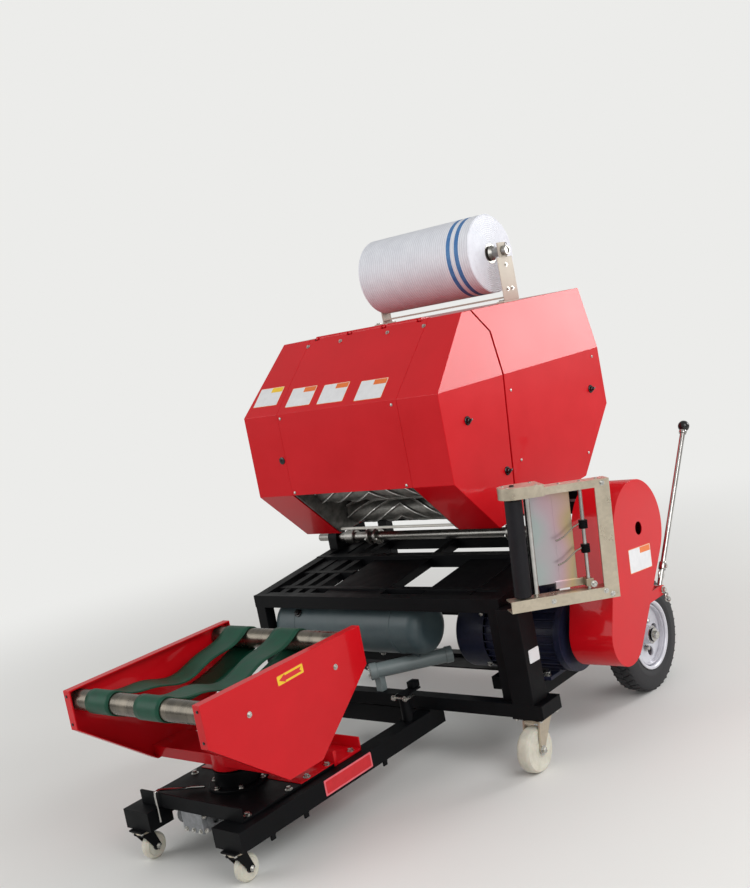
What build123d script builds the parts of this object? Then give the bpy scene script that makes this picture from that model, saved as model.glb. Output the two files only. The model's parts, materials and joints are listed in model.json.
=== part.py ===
from build123d import *
import math
import os

# Stationary round baler for silage with a bale wrapping table, in millimetres.
# +X is the machine's right side, +Y its rear (feed side), +Z up, and the floor is Z = 0.
# X = 0 is the middle of the bale chamber while modelling; the whole machine is moved
# at the end so that the origin lies on the floor under the middle of its box.

# Hood around the bale chamber, seen from the side as (Y, Z)
HOOD_WIDTH = 890
HOOD_TOP_WIDTH = 828
HOOD_TOP = 1441
FOLD_HEIGHT = 1208
FRONT_Y = -503
FRONT_TOP_Y = -256
FRONT_LIP_HEIGHT = 914
FRONT_FOOT = (-303, 721)
REAR_Y = 524
REAR_TOP_Y = 509
REAR_KNEE_HEIGHT = 992
REAR_FOOT = (286, 762)
SEAM_TOP_Y = -203
SEAM_SHOULDER = (-129, 1359)
SEAM_FOLD_Y = -127
SEAM_FOOT = (-176, 848)
SEAM_GAP = 8
COVER_WALL = 3
PANEL = 4
SIDE_PLATE = 10
CHAMBER_WIDTH = 530

# Bale chamber rollers
CHAMBER_Y = -115
CHAMBER_Z = 1075
ROLLER_RING = 306
DRUM_RADIUS = 40
RIB_HEIGHT = 7
RIB_WIDTH = 9
RIB_ROOT = 5
RIB_COUNT = 6
RIB_RUNS = 2
RIB_TURN = 90
JOURNAL_RADIUS = 15
ROLLER_END_GAP = 5
GATE_ROLLERS = 5
GATE_FIRST_ANGLE = 112
GATE_LAST_ANGLE = 250
FIXED_ANGLES = (280, 313, 346, 43, 76)
RUNNING_GAP = 0.3
CLEARANCE = 6

TIE_BAR = (-302, 738)
TIE_BAR_RADIUS = 5

# Gate hinge along the top front edge
HINGE_Y = -250
HINGE_Z = 1440
HINGE_ROD_RADIUS = 4.5
KNUCKLE_RADIUS = 8
LUG_REACH = 60
LUG_THICKNESS = 12
LUG_PLACES = (-240, -80, 80, 240)
ROOF_FRONT_Y = -226

# Feed mouth at the rear
MOUTH_TOP = 1290
MOUTH_FLOOR = 1012
FEED_FRONT_Y = 262
FEED_FRONT_Z = 990
FEED_ROOF_Y = 200
FEED_ROOF_Z = 1325

# Base frame, stand and ramp
BASE_BOTTOM = 176
BASE_BEAM = 44
BASE_HALF_WIDTH = 550
BASE_FRONT_Y = -560
BASE_REAR_Y = 430
GUARD_ARM_LOW = 580
GUARD_ARM_HIGH = 620
OUTRIGGER_LENGTH = 110
OUTRIGGER_DEPTH = 110
FLOOR_SHEET = 5
FLOOR_DROP = 10
FLOOR_LEFT_X = -160
FLOOR_FRONT_Y = -262
STAND_POST_Y = (50, 220)
STAND_TOP = 720
RAMP_OVERHANG = 3
RAMP_FRONT_Y = -514
RAMP_REAR_Y = 45
RAMP_FRONT_TOP = 551
RAMP_REAR_TOP = 619
RAMP_TUBE = 45
RAMP_BARS = (-455, -390, -325, 10, 390)
RAMP_TANK_BAR_Y = -430
RAMP_LEFT_BAR_Y = -290
RAMP_CROSS_Y = -150
RAMP_SLAT = 30
RAMP_SHEET = 5
RAMP_SHEET_DROP = 9
RAMP_MIDDLE_SHEET_X = -250
RAMP_RIGHT_SHEET_X = 200
RAMP_HALF_WIDTH = BASE_HALF_WIDTH + RAMP_OVERHANG

# Drive
SHAFT_Y = -56
SHAFT_Z = 645
SHAFT_RADIUS = 17.5
SHAFT_END_RADIUS = 15
SHAFT_END_LENGTH = 60
SHAFT_END_GAP = 7
SHAFT_COUPLING_X = 330
COUPLING_RADIUS = 32
COUPLING_FLANGE = 12
BEARING_SIDE = 64
GUARD_STANDOFF = 105
GUARD_DEPTH = 155
GUARD_INNER_X = BASE_HALF_WIDTH + GUARD_STANDOFF
GUARD_OUTER_X = GUARD_INNER_X + GUARD_DEPTH
SHAFT_INSET = 40
SHAFT_LEFT_X = -RAMP_HALF_WIDTH - SHAFT_END_GAP - SHAFT_END_LENGTH
SHAFT_RIGHT_X = GUARD_OUTER_X - SHAFT_INSET
MOTOR_Y = -235
MOTOR_RADIUS = 124
MOTOR_LENGTH = 415
MOTOR_GAP = 25
MOTOR_FAN_COVER = 117
MOTOR_SHIELD = 24
MOTOR_SHAFT_RADIUS = 16
MOTOR_SHAFT_LENGTH = 121
MOTOR_CENTRE_HEIGHT = 124
MOTOR_FOOT_SPREAD = 95
MOTOR_FOOT_INSET = 58
MOTOR_FOOT_PLATE = 12
MOTOR_FIN = 12
MOTOR_FIN_SHEET = 4
MOTOR_FINS = 28
MOTOR_BOX = 50
MOTOR_BOX_WIDTH = 117
MOTOR_DRIVE_X = GUARD_INNER_X - MOTOR_GAP
MOTOR_FAN_X = MOTOR_DRIVE_X - MOTOR_LENGTH
GUARD_TOP_RADIUS = 160
GUARD_FOOT_RADIUS = 100
GUARD_WALL = 3
GUARD_HOLE_RADIUS = 22
LEVER_INSET = 25
LEVER_X = GUARD_OUTER_X - LEVER_INSET
LEVER_PIVOT = (55, 402)
LEVER_BALL = (432, 890)
LEVER_RADIUS = 9
LEVER_BALL_RADIUS = 20
LEVER_PIN_RADIUS = 6
EAR_THICKNESS = 6
EAR_RADIUS = 16
EAR_ROOT_Y = -60

# Running gear
TYRE_GAP = 23
TYRE_Y = 182
TYRE_RADIUS = 196
TYRE_WIDTH = 88
TYRE_TREAD_WIDTH = 72
TYRE_X = BASE_HALF_WIDTH + TYRE_GAP + TYRE_WIDTH / 2
RIM_RADIUS = 118
RIM_LIP = 8
RIM_HUB = 32
RIM_DISC = 6
RIM_DISH = 14
RIM_HOLES = 5
RIM_HOLE_RADIUS = 17
RIM_HOLE_CIRCLE = 72
AXLE_RADIUS = 15
AXLE_COLLAR = 8
CASTER_OFFSET = 47
CASTER_X = BASE_HALF_WIDTH + CASTER_OFFSET
CASTER_Y = -505
CASTER_WHEEL_RADIUS = 72
CASTER_WHEEL_WIDTH = 45
CASTER_TRAIL = -42
FRONT_CASTER_SPREAD = 207
FRONT_CASTER_Y = -1425
FRONT_CASTER_WHEEL_RADIUS = 40
FRONT_CASTER_WHEEL_WIDTH = 30
FRONT_CASTER_TRAIL = 26
CASTER_PLATE = 6
CASTER_RACE = 10
CASTER_SIDE_GAP = 3
CASTER_AXLE_RADIUS = 6
CASTER_PLATE_SHARE = 0.75
CASTER_CROWN = 6

# Net roll on top
NET_Y = 181
NET_Z = 1624
NET_RADIUS = 143
NET_LEFT_X = -242
NET_RIGHT_X = 276
NET_CORE_RADIUS = 38
NET_CONE_LENGTH = 22
NET_SHAFT_RADIUS = 11
NET_POST_LEFT_X = -262
NET_POST_RIGHT_X = 322
NET_POST_WIDTH = 50
NET_POST_TOP = 1655
NET_POST_SHEET = 6
NET_BAR_LIFT = 15
NET_SHAFT_LEFT_X = -285
NET_SHAFT_RIGHT_X = 345

# Film stretcher, in its own leaning plane
FILM_OFFSET = 187.5
FILM_CENTRE = (BASE_HALF_WIDTH + FILM_OFFSET, -430, 696)
FILM_YAW = 50.8
FILM_LEAN = 4.2
FILM_WIDTH = 347
FILM_HEIGHT = 370
FILM_DEPTH = 50
FILM_BAR = 36
FILM_TOP_BAR = 24
FILM_UPRIGHT = 48
FILM_SHEET = 5
FILM_GEAR_RADIUS = 45
FILM_GEAR_END = -40
FILM_GEAR_LIFT = 12
FILM_ROLLER_RADIUS = 27
FILM_ROLLER_U = -127
FILM_THIN_RADIUS = 10
FILM_THIN_U = -84
FILM_THIN_W = -5
FILM_PIN_RADIUS = 7
FILM_POST = 80
FILM_PLATE_LEFT = -74
FILM_PLATE_RIGHT = 58
FILM_PLATE_LIFT = 26
FILM_ARM_START = -15
FILM_ARM_LIFT = 8
FILM_ROD_U = 86
FILM_ROD_RADIUS = 6
FILM_CLAMPS_V = (-24, 51)
FILM_WIRE_RADIUS = 2
FILM_WIRE_RUN = 92
FILM_WIRE_DROP = 40

# Wrapping table and its frame
WRAP_X = -45
WRAP_WIDTH = 519
WRAP_TOP = 168
WRAP_BOTTOM = 108
WRAP_RAIL = 60
WRAP_HEAD = 115
WRAP_HEAD_DEPTH = 90
WRAP_CROSS_SPREAD = 110
WRAP_FRONT_Y = -1442
WRAP_REAR_Y = -490
TABLE_Y = -1194
TABLE_PLATE_SPREAD = 310
TABLE_PLATE = 5
TABLE_HALF_LENGTH = 328
TABLE_TOP = 571
TABLE_SHOULDER = 449
TABLE_BOTTOM = 250
TABLE_FLAT_HALF = 70
TABLE_ROLLER_HALF = 287
TABLE_ROLLER_Z = 530
TABLE_ROLLER_RADIUS = 32
BELT_WIDTH = 110
BELT_THICKNESS = 4
BELT_PLACES = (-190, 40)
PIVOT_RADIUS = 70
PIVOT_TOP = 232
PIVOT_PIN_RADIUS = 25
TURN_PLATE = 8
TURN_HALF_WIDTH = 225
TURN_HALF_LENGTH = 200
TURN_FLANGE = 36
TABLE_BEAM = 40
TABLE_FLANGE = 25
TABLE_JOURNAL_RADIUS = 12
TABLE_JOURNAL_REACH = 3
BELT_GAP = 0.5
BELT_UPPER_SAG = 80
BELT_LOWER_SAG = 60
GEAR_HALF = 45
HOLDER_Y = -640
HOLDER_RADIUS = 18
HOLDER_TOP = 255
HOLDER_REACH = 70
HOLDER_SHEET = 6

# Pressure air
TANK_RADIUS = 95
TANK_END_RADIUS = 45
TANK_LEG_GAP = 5
TANK_LEFT_X = TANK_LEG_GAP + RAMP_TUBE - BASE_HALF_WIDTH
TANK_RIGHT_X = 185
TANK_Z = 418
TANK_STRAPS = (-280, 110)
CYLINDER_RADIUS = 26
CYLINDER_MOTOR_GAP = 37
CYLINDER_SPREAD = 198
CYLINDER_Z = 292
CYLINDER_END = (MOTOR_FAN_X - CYLINDER_MOTOR_GAP, -345, CYLINDER_Z)
CYLINDER_START = (CYLINDER_END[0] - CYLINDER_SPREAD, -560, CYLINDER_Z)

pieces = {}


def keep(name, builder):
    """Store a finished piece under its node name."""
    builder.part.label = name
    pieces[name] = builder.part


def bar(x, y, z):
    """Add a box between pairs of X, Y and Z limits."""
    with Locations(((x[0] + x[1]) / 2, (y[0] + y[1]) / 2, (z[0] + z[1]) / 2)):
        Box(abs(x[1] - x[0]), abs(y[1] - y[0]), abs(z[1] - z[0]))


def side_plate(points, x_from, x_to, mode=Mode.ADD):
    """Extrude a (Y, Z) outline along X."""
    with BuildSketch(Plane.YZ.offset(x_from)) as outline:
        Polygon(*points, align=None)
    extrude(outline.sketch, amount=x_to - x_from, mode=mode)


def rod_x(y, z, radius, x_from, x_to, mode=Mode.ADD):
    """Add or cut a round bar along X."""
    with BuildSketch(Plane.YZ.offset(x_from)) as section:
        with Locations((y, z)):
            Circle(radius)
    extrude(section.sketch, amount=x_to - x_from, mode=mode)


def rod_z(x, y, radius, z_from, z_to, mode=Mode.ADD):
    """Add or cut an upright round bar."""
    with BuildSketch(Plane.XY.offset(z_from)) as section:
        with Locations((x, y)):
            Circle(radius)
    extrude(section.sketch, amount=z_to - z_from, mode=mode)


def beam(start, end, width, height):
    """Add a rectangular tube between two points, its height in the upright plane."""
    run = Vector(end) - Vector(start)
    sideways = run.cross(Vector(0, 0, 1)).normalized()
    with BuildSketch(Plane(origin=start, x_dir=sideways, z_dir=run)) as section:
        Rectangle(width, height)
    extrude(section.sketch, amount=run.length)


def sheet(points, thickness, side, half_width):
    """Add a folded sheet that follows a (Y, Z) line, across the machine's middle."""
    with BuildSketch(Plane.YZ) as fold:
        with BuildLine():
            Polyline(*points)
            offset(amount=thickness, side=side)
        make_face()
    extrude(fold.sketch, amount=half_width, both=True)


def on_ring(angle):
    """Centre of a chamber roller at an angle from +Y towards +Z."""
    turn = math.radians(angle)
    return (CHAMBER_Y + ROLLER_RING * math.cos(turn), CHAMBER_Z + ROLLER_RING * math.sin(turn))


# The hood's outline, and the part of it before or behind the gate's seam
HOOD_OUTLINE = [
    (FRONT_Y, FRONT_LIP_HEIGHT),
    FRONT_FOOT,
    REAR_FOOT,
    (REAR_Y, REAR_KNEE_HEIGHT),
    (REAR_Y, FOLD_HEIGHT),
    (REAR_TOP_Y, HOOD_TOP),
    (FRONT_TOP_Y, HOOD_TOP),
    (FRONT_Y, FOLD_HEIGHT),
]
plate_in = CHAMBER_WIDTH / 2
plate_out = plate_in + SIDE_PLATE
base_top = BASE_BOTTOM + BASE_BEAM
motor_z = base_top + MOTOR_CENTRE_HEIGHT
gate_step = (GATE_LAST_ANGLE - GATE_FIRST_ANGLE) / (GATE_ROLLERS - 1)
gate_angles = [GATE_FIRST_ANGLE + gate_step * i for i in range(GATE_ROLLERS)]


def seam_region(front, inset):
    """Outline of the space before (front) or behind the seam, pulled back from it."""
    pull = (SEAM_GAP / 2 + inset) * (-1 if front else 1)
    far = FRONT_Y - HOOD_WIDTH if front else REAR_Y + HOOD_WIDTH
    above = 2 * HOOD_TOP
    drop = (SEAM_FOLD_Y - SEAM_FOOT[0]) / (FOLD_HEIGHT - SEAM_FOOT[1])
    rise = (SEAM_SHOULDER[0] - SEAM_TOP_Y) / (HOOD_TOP - SEAM_SHOULDER[1])
    seam = [
        (SEAM_FOOT[0] - drop * SEAM_FOOT[1] + pull, 0),
        (SEAM_FOLD_Y + pull, FOLD_HEIGHT),
        (SEAM_SHOULDER[0] + pull, SEAM_SHOULDER[1]),
        (SEAM_TOP_Y - rise * (above - HOOD_TOP) + pull, above),
    ]
    return seam + [(far, above), (far, 0)]


def hood_profile(front, inset, x):
    """The hood's outline on one side of the seam, inset by a wall, as a sketch at X."""
    with BuildSketch(Plane.YZ.offset(x)) as profile:
        Polygon(*HOOD_OUTLINE, align=None)
        if inset:
            offset(amount=-inset, kind=Kind.INTERSECTION)
        Polygon(*seam_region(front, inset), align=None, mode=Mode.INTERSECT)
    return profile.sketch


def lean_plane(inset):
    """Plane of the upper side facet, which leans inwards above the fold."""
    slope = Vector(HOOD_TOP - FOLD_HEIGHT, 0, (HOOD_WIDTH - HOOD_TOP_WIDTH) / 2).normalized()
    start = Vector(HOOD_WIDTH / 2, 0, FOLD_HEIGHT) - slope * inset
    return Plane(origin=start, x_dir=(0, 1, 0), z_dir=slope)


def cover_block(front, inset):
    """Solid space of a side cover, inset by its wall."""
    with BuildPart() as block:
        extrude(hood_profile(front, inset, plate_out), amount=HOOD_WIDTH / 2 - plate_out - inset)
        split(bisect_by=lean_plane(inset), keep=Keep.BOTTOM)
    return block.part


# Side covers over the chain drives: sheet shells, open towards the side plates
for cover_name, front in (("gate_covers", True), ("rear_covers", False)):
    shell_block = cover_block(front, 0)
    hollow_block = cover_block(front, COVER_WALL)
    with BuildPart() as cover:
        add(shell_block)
        add(hollow_block, mode=Mode.SUBTRACT)
        mirror(about=Plane.YZ)
    keep(cover_name, cover)

# Chamber side plates with the rollers' bearing holes, and feet on the stand's beams
for plate_name, front, angles in (
    ("gate_side_plates", True, gate_angles),
    ("rear_side_plates", False, FIXED_ANGLES),
):
    plate_face = hood_profile(front, PANEL, plate_in)
    with BuildPart() as plates:
        extrude(plate_face, amount=SIDE_PLATE)
        if not front:
            foot_z = (STAND_TOP, REAR_FOOT[1] + SIDE_PLATE)
            for post_y in STAND_POST_Y:
                bar((plate_in, plate_out), (post_y, post_y + BASE_BEAM), foot_z)
        else:
            roof_relief = (ROOF_FRONT_Y - 2 * CLEARANCE, SEAM_SHOULDER[0])
            relief_depth = HOOD_TOP - PANEL - CLEARANCE
            with Locations(((plate_in + plate_out) / 2, sum(roof_relief) / 2, (relief_depth + HOOD_TOP) / 2)):
                Box(SIDE_PLATE, roof_relief[1] - roof_relief[0], HOOD_TOP - relief_depth, mode=Mode.SUBTRACT)
        for angle in angles:
            centre_y, centre_z = on_ring(angle)
            rod_x(centre_y, centre_z, JOURNAL_RADIUS + RUNNING_GAP, plate_in, plate_out, Mode.SUBTRACT)
        mirror(about=Plane.YZ)
    keep(plate_name, plates)

# Gate front panel: one folded sheet with hinge knuckles rolled into its top edge
with BuildPart() as front_panel:
    sheet(
        [(FRONT_TOP_Y, HOOD_TOP), (FRONT_Y, FOLD_HEIGHT), (FRONT_Y, FRONT_LIP_HEIGHT)],
        PANEL, Side.LEFT, plate_out - RUNNING_GAP,
    )
    for left_lug, right_lug in zip(LUG_PLACES[:-1], LUG_PLACES[1:]):
        start_x = left_lug + LUG_THICKNESS / 2 + CLEARANCE
        end_x = right_lug - LUG_THICKNESS / 2 - CLEARANCE
        rod_x(HINGE_Y, HINGE_Z, KNUCKLE_RADIUS, start_x, end_x)
    rod_x(HINGE_Y, HINGE_Z, HINGE_ROD_RADIUS + RUNNING_GAP, -plate_out, plate_out, Mode.SUBTRACT)
    for lug_x in LUG_PLACES:
        notch_half = LUG_THICKNESS / 2 + CLEARANCE
        notch_x = (lug_x - notch_half, lug_x + notch_half)
        rod_x(HINGE_Y, HINGE_Z, KNUCKLE_RADIUS + CLEARANCE, *notch_x, Mode.SUBTRACT)
keep("gate_front_panel", front_panel)

# Tie bar under the gate's lowest rollers
with BuildPart() as tie_bar:
    rod_x(TIE_BAR[0], TIE_BAR[1], TIE_BAR_RADIUS, -plate_in, plate_in)
keep("gate_tie_bar", tie_bar)

# Chamber roller: a drum with herringbone ribs that meet in the middle, and journals at its ends
drum_half = plate_in - ROLLER_END_GAP
rib_tip = DRUM_RADIUS + RIB_HEIGHT
rib_depth = RIB_HEIGHT + RIB_ROOT


def rib_point(run, first_angle):
    """Middle of a rib's section at the start of a straight run, counted from the drum's middle."""
    turn = math.radians(first_angle + RIB_TURN * run / RIB_RUNS)
    corner = math.sqrt(rib_tip ** 2 - (RIB_WIDTH / 2) ** 2)
    centre = corner - rib_depth / 2
    return Vector(drum_half * run / RIB_RUNS, centre * math.cos(turn), centre * math.sin(turn))


with BuildPart() as ribbed_roller:
    rod_x(0, 0, DRUM_RADIUS, 0, drum_half)
    for rib in range(RIB_COUNT):
        for run in range(RIB_RUNS):
            rib_start = rib_point(run, 360 / RIB_COUNT * rib)
            rib_end = rib_point(run + 1, 360 / RIB_COUNT * rib)
            rib_run = rib_end - rib_start
            outward = Vector(0, rib_start.Y + rib_end.Y, rib_start.Z + rib_end.Z)
            rib_plane = Plane(origin=rib_start, x_dir=rib_run.cross(outward), z_dir=rib_run)
            with BuildSketch(rib_plane) as rib_section:
                Rectangle(RIB_WIDTH, rib_depth)
            extrude(rib_section.sketch, amount=rib_run.length)
    split(bisect_by=Plane.YZ.offset(drum_half), keep=Keep.BOTTOM)
    rod_x(0, 0, JOURNAL_RADIUS, 0, plate_out)
    mirror(about=Plane.YZ)

fixed_names = [f"rear_roller_{i + 1}" for i in range(len(FIXED_ANGLES))]
gate_names = [f"gate_roller_{i + 1}" for i in range(GATE_ROLLERS)]
for roller_name, angle in zip(gate_names + fixed_names, gate_angles + list(FIXED_ANGLES)):
    with BuildPart() as roller:
        add(ribbed_roller.part.moved(Location((0, *on_ring(angle)))))
    keep(roller_name, roller)

# Hood roof with the rear panel above the feed mouth, the hinge lugs and the hinge rod
mouth_y = REAR_Y - (REAR_Y - REAR_TOP_Y) * (MOUTH_TOP - FOLD_HEIGHT) / (HOOD_TOP - FOLD_HEIGHT)
with BuildPart() as roof:
    sheet(
        [(ROOF_FRONT_Y, HOOD_TOP), (REAR_TOP_Y, HOOD_TOP), (mouth_y, MOUTH_TOP)],
        PANEL, Side.RIGHT, plate_out - RUNNING_GAP,
    )
    sheet([(mouth_y, MOUTH_TOP), (FEED_ROOF_Y, FEED_ROOF_Z)], PANEL, Side.RIGHT, plate_in - RUNNING_GAP)
    for lug_x in LUG_PLACES:
        lug_from = lug_x - LUG_THICKNESS / 2
        lug_to = lug_x + LUG_THICKNESS / 2
        rod_x(HINGE_Y, HINGE_Z, KNUCKLE_RADIUS, lug_from, lug_to)
        side_plate(
            [(HINGE_Y, HINGE_Z), (HINGE_Y, HINGE_Z + KNUCKLE_RADIUS),
             (HINGE_Y + LUG_REACH, HOOD_TOP), (ROOF_FRONT_Y, HOOD_TOP - PANEL)],
            lug_from, lug_to,
        )
    rod_x(HINGE_Y, HINGE_Z, HINGE_ROD_RADIUS, LUG_PLACES[0], LUG_PLACES[-1])
keep("hood_roof", roof)

# Feed tray: the sloping rear panel and the floor of the feed mouth
with BuildPart() as tray:
    sheet(
        [REAR_FOOT, (REAR_Y, REAR_KNEE_HEIGHT), (REAR_Y, MOUTH_FLOOR)],
        PANEL, Side.LEFT, plate_out - RUNNING_GAP,
    )
    sheet([(REAR_Y, MOUTH_FLOOR), (FEED_FRONT_Y, FEED_FRONT_Z)], PANEL, Side.LEFT, plate_in - RUNNING_GAP)
keep("feed_tray", tray)

# Base frame of square tube, with outriggers for the middle casters, the motor's bed and a floor sheet
rail_in = BASE_HALF_WIDTH - BASE_BEAM
with BuildPart() as base:
    base_levels = (BASE_BOTTOM, base_top)
    bar((rail_in, BASE_HALF_WIDTH), (BASE_FRONT_Y, BASE_REAR_Y), base_levels)
    outrigger_y = (CASTER_Y - OUTRIGGER_DEPTH / 2, CASTER_Y + OUTRIGGER_DEPTH / 2)
    bar((BASE_HALF_WIDTH, BASE_HALF_WIDTH + OUTRIGGER_LENGTH), outrigger_y, base_levels)
    mirror(about=Plane.YZ)
    bar((-rail_in, rail_in), (BASE_FRONT_Y, BASE_FRONT_Y + BASE_BEAM), base_levels)
    bar((-rail_in, rail_in), (BASE_REAR_Y - BASE_BEAM, BASE_REAR_Y), base_levels)
    bed_start = MOTOR_FAN_X + MOTOR_FAN_COVER
    for bed_y, bed_x in ((MOTOR_Y - MOTOR_FOOT_SPREAD, bed_start), (MOTOR_Y + MOTOR_FOOT_SPREAD, -rail_in)):
        bar((bed_x, rail_in), (bed_y - BASE_BEAM / 2, bed_y + BASE_BEAM / 2), base_levels)
    floor_top = base_top - FLOOR_DROP
    floor_y = (FLOOR_FRONT_Y, MOTOR_Y + MOTOR_FOOT_SPREAD)
    bar((FLOOR_LEFT_X, rail_in), floor_y, (floor_top - FLOOR_SHEET, floor_top))
keep("base_frame", base)

# Stand: four posts and two beams that carry the chamber, legs for the ramp, and the guard's arm
ramp_rise = (RAMP_REAR_TOP - RAMP_FRONT_TOP) / (RAMP_REAR_Y - RAMP_FRONT_Y)
with BuildPart() as stand:
    for post_y in STAND_POST_Y:
        post_span = (post_y, post_y + BASE_BEAM)
        bar((rail_in, BASE_HALF_WIDTH), post_span, (base_top, STAND_TOP))
    mirror(about=Plane.YZ)
    for post_y in STAND_POST_Y:
        bar((-rail_in, rail_in), (post_y, post_y + BASE_BEAM), (STAND_TOP - BASE_BEAM, STAND_TOP))
    guard_arm = (GUARD_ARM_LOW, GUARD_ARM_HIGH)
    bar((BASE_HALF_WIDTH, GUARD_INNER_X), (STAND_POST_Y[0], STAND_POST_Y[0] + BASE_BEAM), guard_arm)
keep("chamber_stand", stand)


def ramp_top(y):
    """Height of the ramp's upper side at Y."""
    return RAMP_FRONT_TOP + ramp_rise * (y - RAMP_FRONT_Y)


# Bale ramp: an inclined frame with slide sheets that the bale rolls down, on two front legs
with BuildPart() as ramp:
    half_tube = RAMP_TUBE / 2
    rail_x = RAMP_HALF_WIDTH - half_tube
    rear_y = STAND_POST_Y[0] - half_tube
    front_z = RAMP_FRONT_TOP - half_tube
    rear_z = ramp_top(rear_y) - half_tube
    beam((rail_x, RAMP_FRONT_Y, front_z), (rail_x, rear_y, rear_z), RAMP_TUBE, RAMP_TUBE)
    leg_x = (BASE_HALF_WIDTH - RAMP_TUBE, BASE_HALF_WIDTH)
    bar(leg_x, (RAMP_FRONT_Y - half_tube, RAMP_FRONT_Y + half_tube), (base_top, front_z))
    mirror(about=Plane.YZ)
    across = (-RAMP_HALF_WIDTH, RAMP_HALF_WIDTH)
    bar(across, (RAMP_FRONT_Y - half_tube, RAMP_FRONT_Y + half_tube), (front_z - half_tube, RAMP_FRONT_TOP))
    bar(across, (rear_y - half_tube, rear_y + half_tube), (rear_z - half_tube, rear_z + half_tube))
    left_part = (-RAMP_HALF_WIDTH, RAMP_MIDDLE_SHEET_X)
    for cross_y, cross_x, depth in (
        (RAMP_TANK_BAR_Y, across, RAMP_SLAT),
        (RAMP_LEFT_BAR_Y, left_part, RAMP_SLAT),
        (RAMP_CROSS_Y, across, RAMP_TUBE),
    ):
        cross_z = ramp_top(cross_y) - half_tube
        bar(cross_x, (cross_y - depth / 2, cross_y + depth / 2), (cross_z - depth / 2, cross_z + depth / 2))
    for bar_x in RAMP_BARS:
        beam((bar_x, RAMP_FRONT_Y, front_z), (bar_x, rear_y, rear_z), RAMP_SLAT, RAMP_SLAT)
    for sheet_from, sheet_to, sheet_front, sheet_rear in (
        (RAMP_MIDDLE_SHEET_X, RAMP_BARS[3], RAMP_FRONT_Y, RAMP_CROSS_Y),
        (RAMP_RIGHT_SHEET_X, rail_x, RAMP_FRONT_Y, RAMP_CROSS_Y),
        (-rail_x, RAMP_BARS[1], RAMP_LEFT_BAR_Y, rear_y),
    ):
        sheet_x = (sheet_from + sheet_to) / 2
        sheet_start = (sheet_x, sheet_front, ramp_top(sheet_front) - half_tube + RAMP_SHEET_DROP)
        sheet_end = (sheet_x, sheet_rear, ramp_top(sheet_rear) - half_tube + RAMP_SHEET_DROP)
        beam(sheet_start, sheet_end, sheet_to - sheet_from, RAMP_SHEET)
keep("bale_ramp", ramp)

# Bearing blocks of the drive shaft, seated on the ramp's sloping rails
with BuildPart() as bearings:
    bearing_y = (SHAFT_Y - BEARING_SIDE / 2, SHAFT_Y + BEARING_SIDE / 2)
    bearing_x = (RAMP_HALF_WIDTH - RAMP_TUBE, RAMP_HALF_WIDTH)
    bar(bearing_x, bearing_y, (rear_z - RAMP_TUBE, SHAFT_Z))
    rod_x(SHAFT_Y, SHAFT_Z, BEARING_SIDE / 2, *bearing_x)
    slope = Vector(0, -ramp_rise, 1)
    seat_z = ramp_top(SHAFT_Y) + half_tube * (slope.length - 1)
    split(bisect_by=Plane(origin=(0, SHAFT_Y, seat_z), z_dir=slope), keep=Keep.TOP)
    rod_x(SHAFT_Y, SHAFT_Z, SHAFT_RADIUS + RUNNING_GAP, *bearing_x, Mode.SUBTRACT)
    mirror(about=Plane.YZ)
keep("shaft_bearings", bearings)

# Air tank hung under the ramp's cross bar by two straps, with a saddle below it that holds the cylinder
tank_bar_low = ramp_top(RAMP_TANK_BAR_Y) - half_tube - RAMP_SLAT / 2
cylinder_run = Vector(CYLINDER_END) - Vector(CYLINDER_START)
cylinder_plane = Plane(origin=CYLINDER_START, z_dir=cylinder_run)
clamp_half = CYLINDER_RADIUS / 2


def cylinder_x(y):
    """X of the cylinder's axis at Y."""
    return CYLINDER_START[0] + cylinder_run.X * (y - CYLINDER_START[1]) / cylinder_run.Y


with BuildPart() as tank:
    rod_x(RAMP_TANK_BAR_Y, TANK_Z, TANK_RADIUS, TANK_LEFT_X, TANK_RIGHT_X)
    end_edges = tank.edges().filter_by(GeomType.CIRCLE)
    fillet(end_edges, TANK_END_RADIUS)
    strap_half = RAMP_SLAT / 2
    strap_y = (RAMP_TANK_BAR_Y - strap_half, RAMP_TANK_BAR_Y + strap_half)
    for strap_x in TANK_STRAPS:
        bar((strap_x - strap_half, strap_x + strap_half), strap_y, (TANK_Z, tank_bar_low))
    saddle_x = cylinder_x(RAMP_TANK_BAR_Y)
    bar((saddle_x - clamp_half, saddle_x + clamp_half), strap_y, (CYLINDER_Z, TANK_Z))
    with BuildSketch(cylinder_plane) as cylinder_bore:
        Circle(CYLINDER_RADIUS)
    extrude(cylinder_bore.sketch, amount=cylinder_run.length, mode=Mode.SUBTRACT)
keep("air_tank", tank)

# Air cylinder across the base, on a clamp at its front end
with BuildPart() as cylinder:
    with BuildSketch(cylinder_plane):
        Circle(CYLINDER_RADIUS)
    extrude(amount=cylinder_run.length)
    clamp_y = BASE_FRONT_Y + BASE_BEAM / 2
    clamp_x = cylinder_x(clamp_y)
    bar((clamp_x - clamp_half, clamp_x + clamp_half), (clamp_y - clamp_half, clamp_y + clamp_half),
        (base_top, CYLINDER_Z))
keep("air_cylinder", cylinder)

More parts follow.
